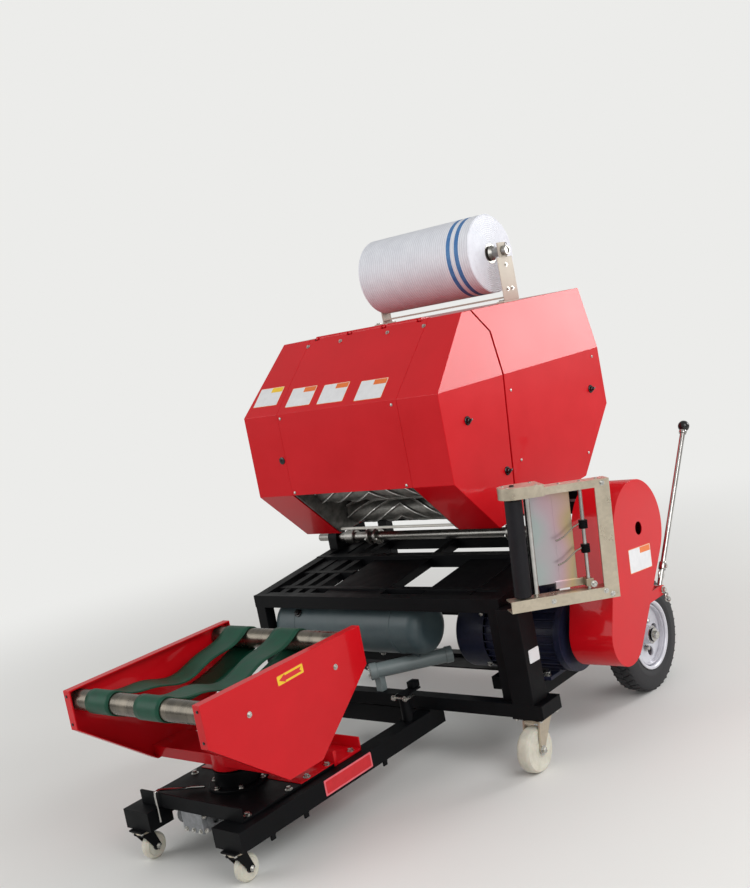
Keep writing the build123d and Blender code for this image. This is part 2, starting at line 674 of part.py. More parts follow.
# Drive motor: fan cover, body with cooling fins all round, end shield, feet and terminal box
with BuildPart() as motor:
    fan_end = MOTOR_FAN_X + MOTOR_FAN_COVER
    shield_x = MOTOR_DRIVE_X - MOTOR_SHIELD
    rod_x(MOTOR_Y, motor_z, MOTOR_RADIUS, MOTOR_FAN_X, fan_end)
    fan_rim = motor.edges().filter_by(GeomType.CIRCLE).sort_by(Axis.X)[0]
    fillet(fan_rim, MOTOR_FIN)
    rod_x(MOTOR_Y, motor_z, MOTOR_RADIUS - MOTOR_FIN, fan_end, shield_x)
    rod_x(MOTOR_Y, motor_z, MOTOR_RADIUS, shield_x, MOTOR_DRIVE_X)
    rod_x(MOTOR_Y, motor_z, MOTOR_SHAFT_RADIUS, MOTOR_DRIVE_X, MOTOR_DRIVE_X + MOTOR_SHAFT_LENGTH)
    with BuildSketch(Plane.YZ.offset(fan_end)) as fins:
        with Locations((MOTOR_Y, motor_z)):
            with PolarLocations(MOTOR_RADIUS - MOTOR_FIN, MOTOR_FINS):
                Rectangle(2 * MOTOR_FIN - MOTOR_FIN_SHEET, MOTOR_FIN_SHEET)
    extrude(fins.sketch, amount=shield_x - fan_end)
    foot_half = BASE_BEAM / 2
    foot_reach = MOTOR_FOOT_SPREAD + foot_half
    feet_x = (fan_end + MOTOR_FOOT_INSET, shield_x - MOTOR_FOOT_INSET)
    for foot_x in feet_x:
        foot_span = (foot_x - foot_half, foot_x + foot_half)
        bar(foot_span, (MOTOR_Y - foot_reach, MOTOR_Y + foot_reach), (base_top, base_top + MOTOR_FOOT_PLATE))
        bar(foot_span, (MOTOR_Y - foot_reach / 2, MOTOR_Y + foot_reach / 2), (base_top, motor_z))
    box_y = (MOTOR_Y - MOTOR_BOX_WIDTH / 2, MOTOR_Y + MOTOR_BOX_WIDTH / 2)
    bar(feet_x, box_y, (motor_z, motor_z + MOTOR_RADIUS + MOTOR_BOX))
keep("drive_motor", motor)

# Drive shaft under the chamber, with a pair of coupling flanges near each end
with BuildPart() as shaft:
    rod_x(SHAFT_Y, SHAFT_Z, SHAFT_RADIUS, SHAFT_LEFT_X + SHAFT_END_LENGTH, SHAFT_RIGHT_X)
    rod_x(SHAFT_Y, SHAFT_Z, SHAFT_END_RADIUS, SHAFT_LEFT_X, SHAFT_LEFT_X + SHAFT_END_LENGTH)
    for coupling_x in (-SHAFT_COUPLING_X, SHAFT_COUPLING_X):
        for flange_x in (coupling_x - 2 * COUPLING_FLANGE, coupling_x + COUPLING_FLANGE):
            rod_x(SHAFT_Y, SHAFT_Z, COUPLING_RADIUS, flange_x, flange_x + COUPLING_FLANGE)
keep("drive_shaft", shaft)

# Belt guard: a hollow sheet housing round the two pulleys, with the lever's ears on its rear edge


def guard_outline(x, inset):
    """Outline round both pulleys as a sketch at X, pulled in by a wall."""
    with BuildSketch(Plane.YZ.offset(x)) as outline:
        with Locations((SHAFT_Y, SHAFT_Z)):
            Circle(GUARD_TOP_RADIUS - inset)
        with Locations((MOTOR_Y, motor_z)):
            Circle(GUARD_FOOT_RADIUS - inset)
        make_hull()
    return outline.sketch


lever_run = Vector(0, LEVER_BALL[0] - LEVER_PIVOT[0], LEVER_BALL[1] - LEVER_PIVOT[1])
ear_gap = LEVER_RADIUS + RUNNING_GAP
ear_z = (LEVER_PIVOT[1] - EAR_RADIUS, LEVER_PIVOT[1] + EAR_RADIUS)
with BuildPart() as guard:
    extrude(guard_outline(GUARD_INNER_X, 0), amount=GUARD_OUTER_X - GUARD_INNER_X)
    for ear_from in (LEVER_X - ear_gap - EAR_THICKNESS, LEVER_X + ear_gap):
        ear_to = ear_from + EAR_THICKNESS
        rod_x(*LEVER_PIVOT, EAR_RADIUS, ear_from, ear_to)
        bar((ear_from, ear_to), (EAR_ROOT_Y, LEVER_PIVOT[0]), ear_z)
    rod_x(*LEVER_PIVOT, LEVER_PIN_RADIUS, LEVER_X - ear_gap, LEVER_X + ear_gap)
    inner_depth = GUARD_OUTER_X - GUARD_INNER_X - 2 * GUARD_WALL
    extrude(guard_outline(GUARD_INNER_X + GUARD_WALL, GUARD_WALL), amount=inner_depth, mode=Mode.SUBTRACT)
    rod_x(SHAFT_Y, SHAFT_Z, GUARD_HOLE_RADIUS, GUARD_OUTER_X - GUARD_WALL, GUARD_OUTER_X, Mode.SUBTRACT)
    back_wall = (GUARD_INNER_X, GUARD_INNER_X + GUARD_WALL)
    rod_x(SHAFT_Y, SHAFT_Z, SHAFT_RADIUS + CLEARANCE, *back_wall, Mode.SUBTRACT)
    rod_x(MOTOR_Y, motor_z, MOTOR_SHAFT_RADIUS + CLEARANCE, *back_wall, Mode.SUBTRACT)
keep("belt_guard", guard)

# Tension lever with a ball knob
with BuildPart() as lever:
    lever_x = (LEVER_X - LEVER_RADIUS, LEVER_X + LEVER_RADIUS)
    rod_x(*LEVER_PIVOT, EAR_RADIUS - RUNNING_GAP, *lever_x)
    pivot_point = (LEVER_X, *LEVER_PIVOT)
    with BuildSketch(Plane(origin=pivot_point, x_dir=(1, 0, 0), z_dir=lever_run)):
        Circle(LEVER_RADIUS)
    extrude(amount=lever_run.length)
    rod_x(*LEVER_PIVOT, LEVER_PIN_RADIUS + RUNNING_GAP, *lever_x, Mode.SUBTRACT)
keep("tension_lever", lever)

with BuildPart() as knob:
    with Locations((LEVER_X, *LEVER_BALL)):
        Sphere(LEVER_BALL_RADIUS)
    with BuildSketch(Plane(origin=pivot_point, x_dir=(1, 0, 0), z_dir=lever_run)):
        Circle(LEVER_RADIUS)
    extrude(amount=lever_run.length, mode=Mode.SUBTRACT)
keep("lever_knob", knob)

# Net roll, its shaft and its bracket on the roof
with BuildPart() as net:
    rod_x(NET_Y, NET_Z, NET_RADIUS, NET_LEFT_X, NET_RIGHT_X)
    rod_x(NET_Y, NET_Z, NET_CORE_RADIUS, NET_LEFT_X, NET_RIGHT_X, Mode.SUBTRACT)
keep("net_roll", net)

with BuildPart() as net_shaft:
    rod_x(NET_Y, NET_Z, NET_SHAFT_RADIUS, NET_SHAFT_LEFT_X, NET_SHAFT_RIGHT_X)
    rod_x(NET_Y, NET_Z, NET_CORE_RADIUS, NET_LEFT_X, NET_LEFT_X + NET_CONE_LENGTH)
    rod_x(NET_Y, NET_Z, NET_CORE_RADIUS, NET_RIGHT_X - NET_CONE_LENGTH, NET_RIGHT_X)
keep("net_shaft", net_shaft)

with BuildPart() as net_bracket:
    post_y = (NET_Y - NET_POST_WIDTH / 2, NET_Y + NET_POST_WIDTH / 2)
    for post_x in (NET_POST_LEFT_X, NET_POST_RIGHT_X):
        post_edge = post_x + NET_POST_SHEET
        bar((post_x, post_edge), post_y, (HOOD_TOP, NET_POST_TOP))
        foot_y = (NET_Y - NET_POST_WIDTH, NET_Y + NET_POST_WIDTH)
        bar((post_x - NET_POST_WIDTH / 2, post_edge), foot_y, (HOOD_TOP, HOOD_TOP + NET_POST_SHEET))
        rod_x(NET_Y, NET_Z, NET_SHAFT_RADIUS + RUNNING_GAP, post_x, post_edge, Mode.SUBTRACT)
    bar_low = HOOD_TOP + NET_BAR_LIFT
    bar((NET_POST_LEFT_X, NET_POST_RIGHT_X), post_y, (bar_low, bar_low + NET_POST_SHEET))
keep("net_bracket", net_bracket)

# Film stretcher: a leaning C frame with a gear box, two rollers, a plate and spring wires
yaw = math.radians(FILM_YAW)
lean = math.radians(FILM_LEAN)
film_u = Vector(math.cos(yaw) * math.cos(lean), math.sin(yaw) * math.cos(lean), -math.sin(lean))
film_n = Vector(math.sin(yaw), -math.cos(yaw), 0)
film_v = film_n.cross(film_u)
FILM_PLANE = Plane(origin=FILM_CENTRE, x_dir=film_u, z_dir=film_n)
film_low = -FILM_HEIGHT / 2
film_high = FILM_HEIGHT / 2
film_side = FILM_WIDTH / 2


def film_box(u, v, w, mode=Mode.ADD):
    """Box between limits along, up and out of the film plane."""
    with BuildSketch(FILM_PLANE.offset(w[0])) as face:
        with Locations(((u[0] + u[1]) / 2, (v[0] + v[1]) / 2)):
            Rectangle(abs(u[1] - u[0]), abs(v[1] - v[0]))
    extrude(face.sketch, amount=w[1] - w[0], mode=mode)


def film_rod(u, w, radius, v_from, v_to, mode=Mode.ADD):
    """Round bar along the film plane's upward direction."""
    foot = Vector(FILM_CENTRE) + film_u * u + film_n * w + film_v * v_from
    with BuildSketch(Plane(origin=foot, x_dir=film_u, z_dir=film_v)) as section:
        Circle(radius)
    extrude(section.sketch, amount=v_to - v_from, mode=mode)


def film_channel(u, v):
    """Folded channel between limits along and up the film plane, open at its back."""
    film_box(u, v, (-half_depth, half_depth))
    inner_v = (v[0] + FILM_SHEET, v[1] - FILM_SHEET)
    film_box(u, inner_v, (-half_depth, half_depth - FILM_SHEET), Mode.SUBTRACT)


roller_low = film_low + FILM_BAR + CLEARANCE
roller_high = film_high - FILM_TOP_BAR - CLEARANCE
half_depth = FILM_DEPTH / 2
window_v = (film_low + FILM_BAR, film_high - FILM_TOP_BAR)
gear_top = film_high + FILM_GEAR_LIFT
film_axles = ((FILM_ROLLER_U, 0), (FILM_THIN_U, FILM_THIN_W))
with BuildPart() as film_frame:
    film_channel((-film_side, film_side), (film_low, film_low + FILM_BAR))
    film_channel((FILM_GEAR_END, film_side), (window_v[1], film_high))
    frame_v = (film_low, film_high)
    film_box((film_side - FILM_UPRIGHT, film_side), frame_v, (half_depth - FILM_SHEET, half_depth))
    film_box((film_side - FILM_SHEET, film_side), frame_v, (-half_depth, half_depth))
    film_rod(FILM_ROLLER_U, 0, FILM_GEAR_RADIUS, window_v[1], gear_top)
    film_box((FILM_ROLLER_U, FILM_GEAR_END), (window_v[1], gear_top), (-FILM_GEAR_RADIUS, FILM_GEAR_RADIUS))
    for axle_u, axle_w in film_axles:
        film_rod(axle_u, axle_w, FILM_PIN_RADIUS + RUNNING_GAP, film_low, film_high, Mode.SUBTRACT)
keep("film_frame", film_frame)

# Rainbow plate that hangs from the gear cover, with an arm from its foot to the rod
arm_v = (window_v[0] + FILM_ARM_LIFT, window_v[0] + FILM_PLATE_LIFT + FILM_SHEET)
plate_v = (window_v[0] + FILM_PLATE_LIFT, window_v[1])
with BuildPart() as film_plate:
    film_box((FILM_PLATE_LEFT, FILM_PLATE_RIGHT), plate_v, (-half_depth, FILM_SHEET - half_depth))
    film_box((FILM_ARM_START, FILM_ROD_U), arm_v, (-half_depth, 2 * FILM_SHEET - half_depth))
    film_box((FILM_ROD_U - 2 * FILM_ROD_RADIUS, FILM_ROD_U + 2 * FILM_ROD_RADIUS), arm_v,
             (-half_depth, 2 * FILM_ROD_RADIUS))
    film_rod(FILM_ROD_U, 0, FILM_ROD_RADIUS, *arm_v, Mode.SUBTRACT)
keep("film_plate", film_plate)

# Upright rod with two clamps, each with a wire that leans on the film
with BuildPart() as film_wires:
    film_rod(FILM_ROD_U, 0, FILM_ROD_RADIUS, *window_v)
    clamp_reach = 2 * FILM_ROD_RADIUS
    clamp_u = (FILM_ROD_U - clamp_reach, FILM_ROD_U + clamp_reach)
    wire_run = film_u * -FILM_WIRE_RUN - film_v * FILM_WIRE_DROP
    for clamp_v in FILM_CLAMPS_V:
        film_box(clamp_u, (clamp_v - clamp_reach, clamp_v + clamp_reach), (-clamp_reach, clamp_reach))
        wire_start = Vector(FILM_CENTRE) + film_u * FILM_ROD_U + film_v * clamp_v
        with BuildSketch(Plane(origin=wire_start, x_dir=film_n, z_dir=wire_run)) as wire:
            Circle(FILM_WIRE_RADIUS)
        extrude(wire.sketch, amount=wire_run.length)
keep("film_wires", film_wires)

for roller_name, (axle_u, axle_w), roller_radius in zip(
    ("film_rubber_roller", "film_steel_roller"), film_axles, (FILM_ROLLER_RADIUS, FILM_THIN_RADIUS),
):
    with BuildPart() as film_roller:
        film_rod(axle_u, axle_w, roller_radius, roller_low, roller_high)
        film_rod(axle_u, axle_w, FILM_PIN_RADIUS, film_low, film_high)
    keep(roller_name, film_roller)

# Post from the right outrigger up to the film frame's lower bar
film_foot = Vector(FILM_CENTRE) + film_u * (-film_side) + film_v * film_low
post_start_x = RAMP_HALF_WIDTH + RUNNING_GAP
post_centre_y = CASTER_Y - OUTRIGGER_DEPTH / 2 + FILM_POST / 2
with BuildPart() as film_post:
    film_post_y = (post_centre_y - FILM_POST / 2, post_centre_y + FILM_POST / 2)
    bar((post_start_x, post_start_x + FILM_POST), film_post_y, (base_top, FILM_CENTRE[2]))
    cut_plane = Plane(origin=film_foot, x_dir=film_u, z_dir=film_v)
    split(bisect_by=cut_plane, keep=Keep.BOTTOM)
keep("film_post", film_post)

# Wrapping frame: two rails under the base, with heads for the front casters and a film holder
wrap_half = WRAP_WIDTH / 2
wrap_levels = (WRAP_BOTTOM, WRAP_TOP)
with BuildPart() as wrap:
    for rail_side in (-1, 1):
        outer_x = WRAP_X + rail_side * wrap_half
        rail_span = (outer_x, outer_x - rail_side * WRAP_RAIL)
        head_span = (outer_x, outer_x - rail_side * WRAP_HEAD)
        bar(rail_span, (WRAP_FRONT_Y, WRAP_REAR_Y), wrap_levels)
        bar(head_span, (WRAP_FRONT_Y, WRAP_FRONT_Y + WRAP_HEAD_DEPTH), wrap_levels)
        bar(rail_span, (BASE_FRONT_Y, BASE_FRONT_Y + BASE_BEAM), (WRAP_TOP, BASE_BOTTOM))
    for cross_y in (TABLE_Y - WRAP_CROSS_SPREAD, TABLE_Y + WRAP_CROSS_SPREAD, WRAP_REAR_Y - WRAP_RAIL):
        bar((WRAP_X - wrap_half, WRAP_X + wrap_half), (cross_y, cross_y + WRAP_RAIL), wrap_levels)
    holder_x = WRAP_X + wrap_half - WRAP_RAIL / 2
    rod_z(holder_x, HOLDER_Y, HOLDER_RADIUS, WRAP_TOP, HOLDER_TOP)
    holder_y = (HOLDER_Y - HOLDER_RADIUS, HOLDER_Y + HOLDER_REACH)
    holder_z = (HOLDER_TOP, HOLDER_TOP + HOLDER_SHEET)
    bar((holder_x - HOLDER_RADIUS, holder_x + HOLDER_RADIUS), holder_y, holder_z)
keep("wrap_frame", wrap)

# Turntable base: a flanged plate bolted on the rails, with the pivot housing
plate_top = WRAP_TOP + TURN_PLATE
with BuildPart() as turn_base:
    turn_x = (WRAP_X - TURN_HALF_WIDTH, WRAP_X + TURN_HALF_WIDTH)
    turn_y = (TABLE_Y - TURN_HALF_LENGTH, TABLE_Y + TURN_HALF_LENGTH)
    bar(turn_x, turn_y, (WRAP_TOP, plate_top))
    for flange_y in (turn_y[0], turn_y[1] - TURN_PLATE):
        bar(turn_x, (flange_y, flange_y + TURN_PLATE), (plate_top, plate_top + TURN_FLANGE))
    rod_z(WRAP_X, TABLE_Y, PIVOT_RADIUS, plate_top, PIVOT_TOP)
    rod_z(WRAP_X, TABLE_Y, PIVOT_PIN_RADIUS + RUNNING_GAP, plate_top, PIVOT_TOP, Mode.SUBTRACT)
keep("turntable_base", turn_base)

# Turning table: hub, pin and cross beam, flanged side plates, rollers and slack belts
plate_face_x = TABLE_PLATE_SPREAD - TABLE_PLATE
hub_low = PIVOT_TOP + CLEARANCE
beam_half = TABLE_FLAT_HALF - TABLE_PLATE
with BuildPart() as table_frame:
    rod_z(WRAP_X, TABLE_Y, PIVOT_PIN_RADIUS, plate_top + RUNNING_GAP, hub_low)
    rod_z(WRAP_X, TABLE_Y, PIVOT_RADIUS, hub_low, TABLE_BOTTOM)
    bar((WRAP_X - plate_face_x, WRAP_X + plate_face_x), (TABLE_Y - beam_half, TABLE_Y + beam_half),
        (TABLE_BOTTOM + TABLE_PLATE, TABLE_BOTTOM + TABLE_BEAM))
    rod_z(WRAP_X, TABLE_Y, PIVOT_RADIUS, hub_low, TABLE_BOTTOM + TABLE_BEAM)
keep("table_frame", table_frame)

TABLE_OUTLINE = [
    (TABLE_Y - TABLE_HALF_LENGTH, TABLE_TOP),
    (TABLE_Y - TABLE_HALF_LENGTH, TABLE_SHOULDER),
    (TABLE_Y - TABLE_FLAT_HALF, TABLE_BOTTOM),
    (TABLE_Y + TABLE_FLAT_HALF, TABLE_BOTTOM),
    (TABLE_Y + TABLE_HALF_LENGTH, TABLE_SHOULDER),
    (TABLE_Y + TABLE_HALF_LENGTH, TABLE_TOP),
]
table_roller_y = (TABLE_Y - TABLE_ROLLER_HALF, TABLE_Y + TABLE_ROLLER_HALF)
with BuildPart() as table_plates:
    side_plate(TABLE_OUTLINE, plate_face_x - TABLE_FLANGE, TABLE_PLATE_SPREAD)
    with BuildSketch(Plane.YZ.offset(plate_face_x - TABLE_FLANGE)) as plate_inside:
        Polygon(*TABLE_OUTLINE, align=None)
        offset(amount=-TABLE_PLATE, kind=Kind.INTERSECTION)
    extrude(plate_inside.sketch, amount=TABLE_FLANGE, mode=Mode.SUBTRACT)
    for roller_y in table_roller_y:
        plate_span = (plate_face_x, plate_face_x + TABLE_JOURNAL_REACH)
        rod_x(roller_y, TABLE_ROLLER_Z, TABLE_JOURNAL_RADIUS + RUNNING_GAP, *plate_span, Mode.SUBTRACT)
    mirror(about=Plane.YZ)
table_plates.part = table_plates.part.moved(Location((WRAP_X, 0, 0)))
keep("table_side_plates", table_plates)

table_drum_half = plate_face_x - ROLLER_END_GAP
for roller_name, roller_y in zip(("table_roller_front", "table_roller_rear"), table_roller_y):
    with BuildPart() as table_roller:
        drum_span = (WRAP_X - table_drum_half, WRAP_X + table_drum_half)
        rod_x(roller_y, TABLE_ROLLER_Z, TABLE_ROLLER_RADIUS, *drum_span)
        pin_half = plate_face_x + TABLE_JOURNAL_REACH - RUNNING_GAP
        pin_span = (WRAP_X - pin_half, WRAP_X + pin_half)
        rod_x(roller_y, TABLE_ROLLER_Z, TABLE_JOURNAL_RADIUS, *pin_span)
    keep(roller_name, table_roller)

# Each slack belt loops round both rollers: the upper run dips between them and the lower run hangs
belt_radius = TABLE_ROLLER_RADIUS + BELT_GAP
upper_rise = (TABLE_ROLLER_HALF ** 2 - BELT_UPPER_SAG ** 2) / (2 * BELT_UPPER_SAG)
lower_rise = (TABLE_ROLLER_HALF ** 2 - BELT_LOWER_SAG ** 2) / (2 * BELT_LOWER_SAG)
upper_lean = math.atan2(TABLE_ROLLER_HALF, upper_rise)
lower_lean = math.atan2(TABLE_ROLLER_HALF, lower_rise)
upper_touch = (belt_radius * math.sin(upper_lean), belt_radius * math.cos(upper_lean))
lower_touch = (belt_radius * math.sin(lower_lean), belt_radius * math.cos(lower_lean))
belt_front, belt_rear = table_roller_y
upper_front = (belt_front + upper_touch[0], TABLE_ROLLER_Z + upper_touch[1])
upper_rear = (belt_rear - upper_touch[0], TABLE_ROLLER_Z + upper_touch[1])
lower_front = (belt_front - lower_touch[0], TABLE_ROLLER_Z - lower_touch[1])
lower_rear = (belt_rear + lower_touch[0], TABLE_ROLLER_Z - lower_touch[1])
upper_middle = (TABLE_Y, TABLE_ROLLER_Z + belt_radius - BELT_UPPER_SAG)
lower_middle = (TABLE_Y, TABLE_ROLLER_Z - belt_radius - BELT_LOWER_SAG)
with BuildPart() as belts:
    for belt_x in BELT_PLACES:
        belt_start = WRAP_X + belt_x - BELT_WIDTH / 2
        with BuildSketch(Plane.YZ.offset(belt_start)) as loop:
            with BuildLine():
                ThreePointArc(upper_front, upper_middle, upper_rear)
                ThreePointArc(upper_rear, (belt_rear + belt_radius, TABLE_ROLLER_Z), lower_rear)
                ThreePointArc(lower_rear, lower_middle, lower_front)
                ThreePointArc(lower_front, (belt_front - belt_radius, TABLE_ROLLER_Z), upper_front)
            make_face()
            inside = loop.sketch.face()
            offset(amount=BELT_THICKNESS)
            add(loop.workplanes[0].to_local_coords(inside), mode=Mode.SUBTRACT)
        extrude(loop.sketch, amount=BELT_WIDTH)
keep("table_belts", belts)

# Gear motor between the wrapping frame's rails
gear_y = TABLE_Y - WRAP_CROSS_SPREAD - GEAR_HALF
with BuildPart() as gear_motor:
    gear_span = (gear_y - GEAR_HALF, gear_y + GEAR_HALF)
    bar((WRAP_X - GEAR_HALF, WRAP_X + GEAR_HALF), gear_span, wrap_levels)
    rod_x(gear_y, (WRAP_BOTTOM + WRAP_TOP) / 2, GEAR_HALF / 2, WRAP_X - 2 * GEAR_HALF, WRAP_X)
keep("table_gear_motor", gear_motor)


def turned(points, x, y, z):
    """Turn a profile of (along X, radius) points about an X axis."""
    with BuildSketch(Plane(origin=(x, y, z), x_dir=(1, 0, 0), z_dir=(0, -1, 0))) as profile:
        Polygon(*points, align=None)
    revolve(profile.sketch, axis=Axis((x, y, z), (1, 0, 0)))


# Road wheels: pneumatic tyres on pressed rims with round holes, on stub axles bolted to the base rails
tyre_half = TYRE_WIDTH / 2
tread_half = TYRE_TREAD_WIDTH / 2
bead_half = tyre_half - RIM_LIP
rim_out = RIM_RADIUS - RUNNING_GAP
rim_in = rim_out - RIM_LIP
bulge = (RIM_RADIUS + TYRE_RADIUS) / 2
for side_name, side in (("left", -1), ("right", 1)):
    wheel_x = side * TYRE_X
    with BuildPart() as tyre:
        turned(
            [(-bead_half, RIM_RADIUS), (bead_half, RIM_RADIUS), (tyre_half, bulge),
             (tread_half, TYRE_RADIUS), (-tread_half, TYRE_RADIUS), (-tyre_half, bulge)],
            wheel_x, TYRE_Y, TYRE_RADIUS,
        )
    keep(f"tyre_{side_name}", tyre)
    dish = side * RIM_DISH
    disc = side * RIM_DISC
    bore = AXLE_RADIUS + RUNNING_GAP
    with BuildPart() as rim:
        turned([(-bead_half, rim_out), (bead_half, rim_out), (bead_half, rim_in), (-bead_half, rim_in)],
               wheel_x, TYRE_Y, TYRE_RADIUS)
        turned([(dish, rim_in), (dish + disc, rim_in), (disc, RIM_HUB), (0, RIM_HUB)],
               wheel_x, TYRE_Y, TYRE_RADIUS)
        turned([(-tyre_half, bore), (tyre_half, bore), (tyre_half, RIM_HUB), (-tyre_half, RIM_HUB)],
               wheel_x, TYRE_Y, TYRE_RADIUS)
        with BuildSketch(Plane.YZ.offset(wheel_x)) as holes:
            with Locations((TYRE_Y, TYRE_RADIUS)):
                with PolarLocations(RIM_HOLE_CIRCLE, RIM_HOLES):
                    Circle(RIM_HOLE_RADIUS)
        extrude(holes.sketch, amount=bead_half, both=True, mode=Mode.SUBTRACT)
    keep(f"rim_{side_name}", rim)

# Each stub axle has a shoulder inside the wheel and an end collar outside it
collar_radius = AXLE_RADIUS + AXLE_COLLAR
wheel_edge = TYRE_X + tyre_half
with BuildPart() as axles:
    rod_x(TYRE_Y, TYRE_RADIUS, AXLE_RADIUS, BASE_HALF_WIDTH, wheel_edge + AXLE_COLLAR)
    rod_x(TYRE_Y, TYRE_RADIUS, collar_radius, BASE_HALF_WIDTH, TYRE_X - tyre_half - RUNNING_GAP)
    rod_x(TYRE_Y, TYRE_RADIUS, collar_radius, wheel_edge + RUNNING_GAP, wheel_edge + AXLE_COLLAR)
    mirror(about=Plane.YZ)
keep("wheel_axles", axles)


def caster_fork(x, y, plate_low, wheel_radius, wheel_width, trail):
    """Fork of a swivel caster: race, crown, two legs and the wheel's axle."""
    crown_top = plate_low - RUNNING_GAP - CASTER_RACE
    crown_low = crown_top - CASTER_PLATE
    leg_in = wheel_width / 2 + CASTER_SIDE_GAP
    leg_out = leg_in + CASTER_PLATE
    neck = wheel_radius / 2
    axle_y = y + trail
    tip = CASTER_AXLE_RADIUS * 2
    with BuildPart() as fork:
        rod_z(x, y, neck, crown_top, plate_low - RUNNING_GAP)
        bar((x - leg_out, x + leg_out), (y - neck, y + neck), (crown_low, crown_top))
        for leg_x in (x - leg_out, x + leg_in):
            side_plate(
                [(y - neck, crown_top), (y + neck, crown_top), (axle_y + tip, wheel_radius),
                 (axle_y, wheel_radius - tip), (axle_y - tip, wheel_radius)],
                leg_x, leg_x + CASTER_PLATE,
            )
        rod_x(axle_y, wheel_radius, CASTER_AXLE_RADIUS, x - leg_out, x + leg_out)
    return fork


# Swivel casters: nylon wheels in forks, under plates welded to the frames
caster_places = [
    ("middle_left", -CASTER_X, CASTER_Y, BASE_BOTTOM, CASTER_WHEEL_RADIUS, CASTER_WHEEL_WIDTH, CASTER_TRAIL),
    ("middle_right", CASTER_X, CASTER_Y, BASE_BOTTOM, CASTER_WHEEL_RADIUS, CASTER_WHEEL_WIDTH, CASTER_TRAIL),
    ("front_left", WRAP_X - FRONT_CASTER_SPREAD, FRONT_CASTER_Y, WRAP_BOTTOM, FRONT_CASTER_WHEEL_RADIUS,
     FRONT_CASTER_WHEEL_WIDTH, FRONT_CASTER_TRAIL),
    ("front_right", WRAP_X + FRONT_CASTER_SPREAD, FRONT_CASTER_Y, WRAP_BOTTOM, FRONT_CASTER_WHEEL_RADIUS,
     FRONT_CASTER_WHEEL_WIDTH, FRONT_CASTER_TRAIL),
]
with BuildPart() as caster_plates:
    for _, x, y, top, wheel_radius, _, _ in caster_places:
        plate_half = wheel_radius * CASTER_PLATE_SHARE
        bar((x - plate_half, x + plate_half), (y - plate_half, y + plate_half), (top - CASTER_PLATE, top))
keep("caster_plates", caster_plates)

for place, x, y, top, wheel_radius, wheel_width, trail in caster_places:
    keep(f"caster_fork_{place}", caster_fork(x, y, top - CASTER_PLATE, wheel_radius, wheel_width, trail))
    crown = wheel_radius - CASTER_CROWN
    half = wheel_width / 2
    bore = CASTER_AXLE_RADIUS + RUNNING_GAP
    with BuildPart() as caster_wheel:
        turned(
            [(-half, bore), (-half, crown), (-half / 2, wheel_radius),
             (half / 2, wheel_radius), (half, crown), (half, bore)],
            x, y + trail, wheel_radius,
        )
    keep(f"caster_wheel_{place}", caster_wheel)

# Move the machine so that the origin is on the floor under the middle of its box, and write it
boxes = [piece.bounding_box() for piece in pieces.values()]
middle_x = (min(box.min.X for box in boxes) + max(box.max.X for box in boxes)) / 2
middle_y = (min(box.min.Y for box in boxes) + max(box.max.Y for box in boxes)) / 2
ORIGIN_SHIFT = (-middle_x, -middle_y, 0)
os.makedirs("parts", exist_ok=True)
for name, piece in pieces.items():
    placed = piece.moved(Location(ORIGIN_SHIFT))
    placed.label = name
    export_step(placed, f"parts/{name}.step")
print(len(pieces), "pieces, moved by", ORIGIN_SHIFT)
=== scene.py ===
# %% [markdown]
# # A small round baler with its wrapping table
# The solids come from the CAD frame: every plate, tube, roller and wheel is already at its place and size.
# This lesson dresses them. It sets up light and camera, mixes one finish for each real material, and models
# what the solids leave plain: herringbone ribs, knitted net, slack belts, tyre tread, bolts and wires.

# %% The frame
import json
import math

import bmesh
import bpy
from mathutils import Matrix, Vector


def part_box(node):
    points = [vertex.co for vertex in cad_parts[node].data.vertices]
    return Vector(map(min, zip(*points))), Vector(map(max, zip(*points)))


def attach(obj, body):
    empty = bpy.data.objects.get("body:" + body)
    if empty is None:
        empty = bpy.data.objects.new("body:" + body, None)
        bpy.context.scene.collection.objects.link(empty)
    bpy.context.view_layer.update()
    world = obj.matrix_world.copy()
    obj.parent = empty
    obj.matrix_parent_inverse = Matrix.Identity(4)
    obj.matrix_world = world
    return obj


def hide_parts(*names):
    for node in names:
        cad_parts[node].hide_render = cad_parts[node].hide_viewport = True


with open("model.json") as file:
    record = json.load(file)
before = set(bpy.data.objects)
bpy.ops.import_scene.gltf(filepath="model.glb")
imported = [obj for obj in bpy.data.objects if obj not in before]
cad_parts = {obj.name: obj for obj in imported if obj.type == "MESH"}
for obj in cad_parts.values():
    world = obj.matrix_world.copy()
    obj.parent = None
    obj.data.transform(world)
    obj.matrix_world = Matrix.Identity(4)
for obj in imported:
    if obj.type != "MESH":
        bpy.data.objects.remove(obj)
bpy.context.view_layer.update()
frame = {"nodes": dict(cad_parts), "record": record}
nodes = frame["nodes"]
scene = bpy.context.scene

# %% [markdown]
# A maker measures a machine in millimetres from a few fixed lines. Here they are the middle of the bale
# chamber, a cross line 182 mm in front of the road wheels' axle, and the floor. Every shape below is drawn in
# those millimetres, and one function moves a point into the frame's metres.

# %% Measuring lines
AXLE_FROM_LINE = 182
cover_low, cover_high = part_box("gate_covers")
tyre_low, tyre_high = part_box("tyre_right")
middle_x = (cover_low.x + cover_high.x) / 2
line_y = (tyre_low.y + tyre_high.y) / 2 - AXLE_FROM_LINE / 1000
TO_FRAME = Matrix.Translation((middle_x, line_y, 0)) @ Matrix.Scale(0.001, 4)


def place(x, y, z):
    """A point in millimetres from the measuring lines, in the frame's metres."""
    return TO_FRAME @ Vector((x, y, z))


def box_mm(node):
    """A node's lowest and highest corner in millimetres from the measuring lines."""
    low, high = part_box(node)
    return TO_FRAME.inverted() @ low, TO_FRAME.inverted() @ high


print("measuring lines:", [round(v, 4) for v in place(0, 0, 0)])

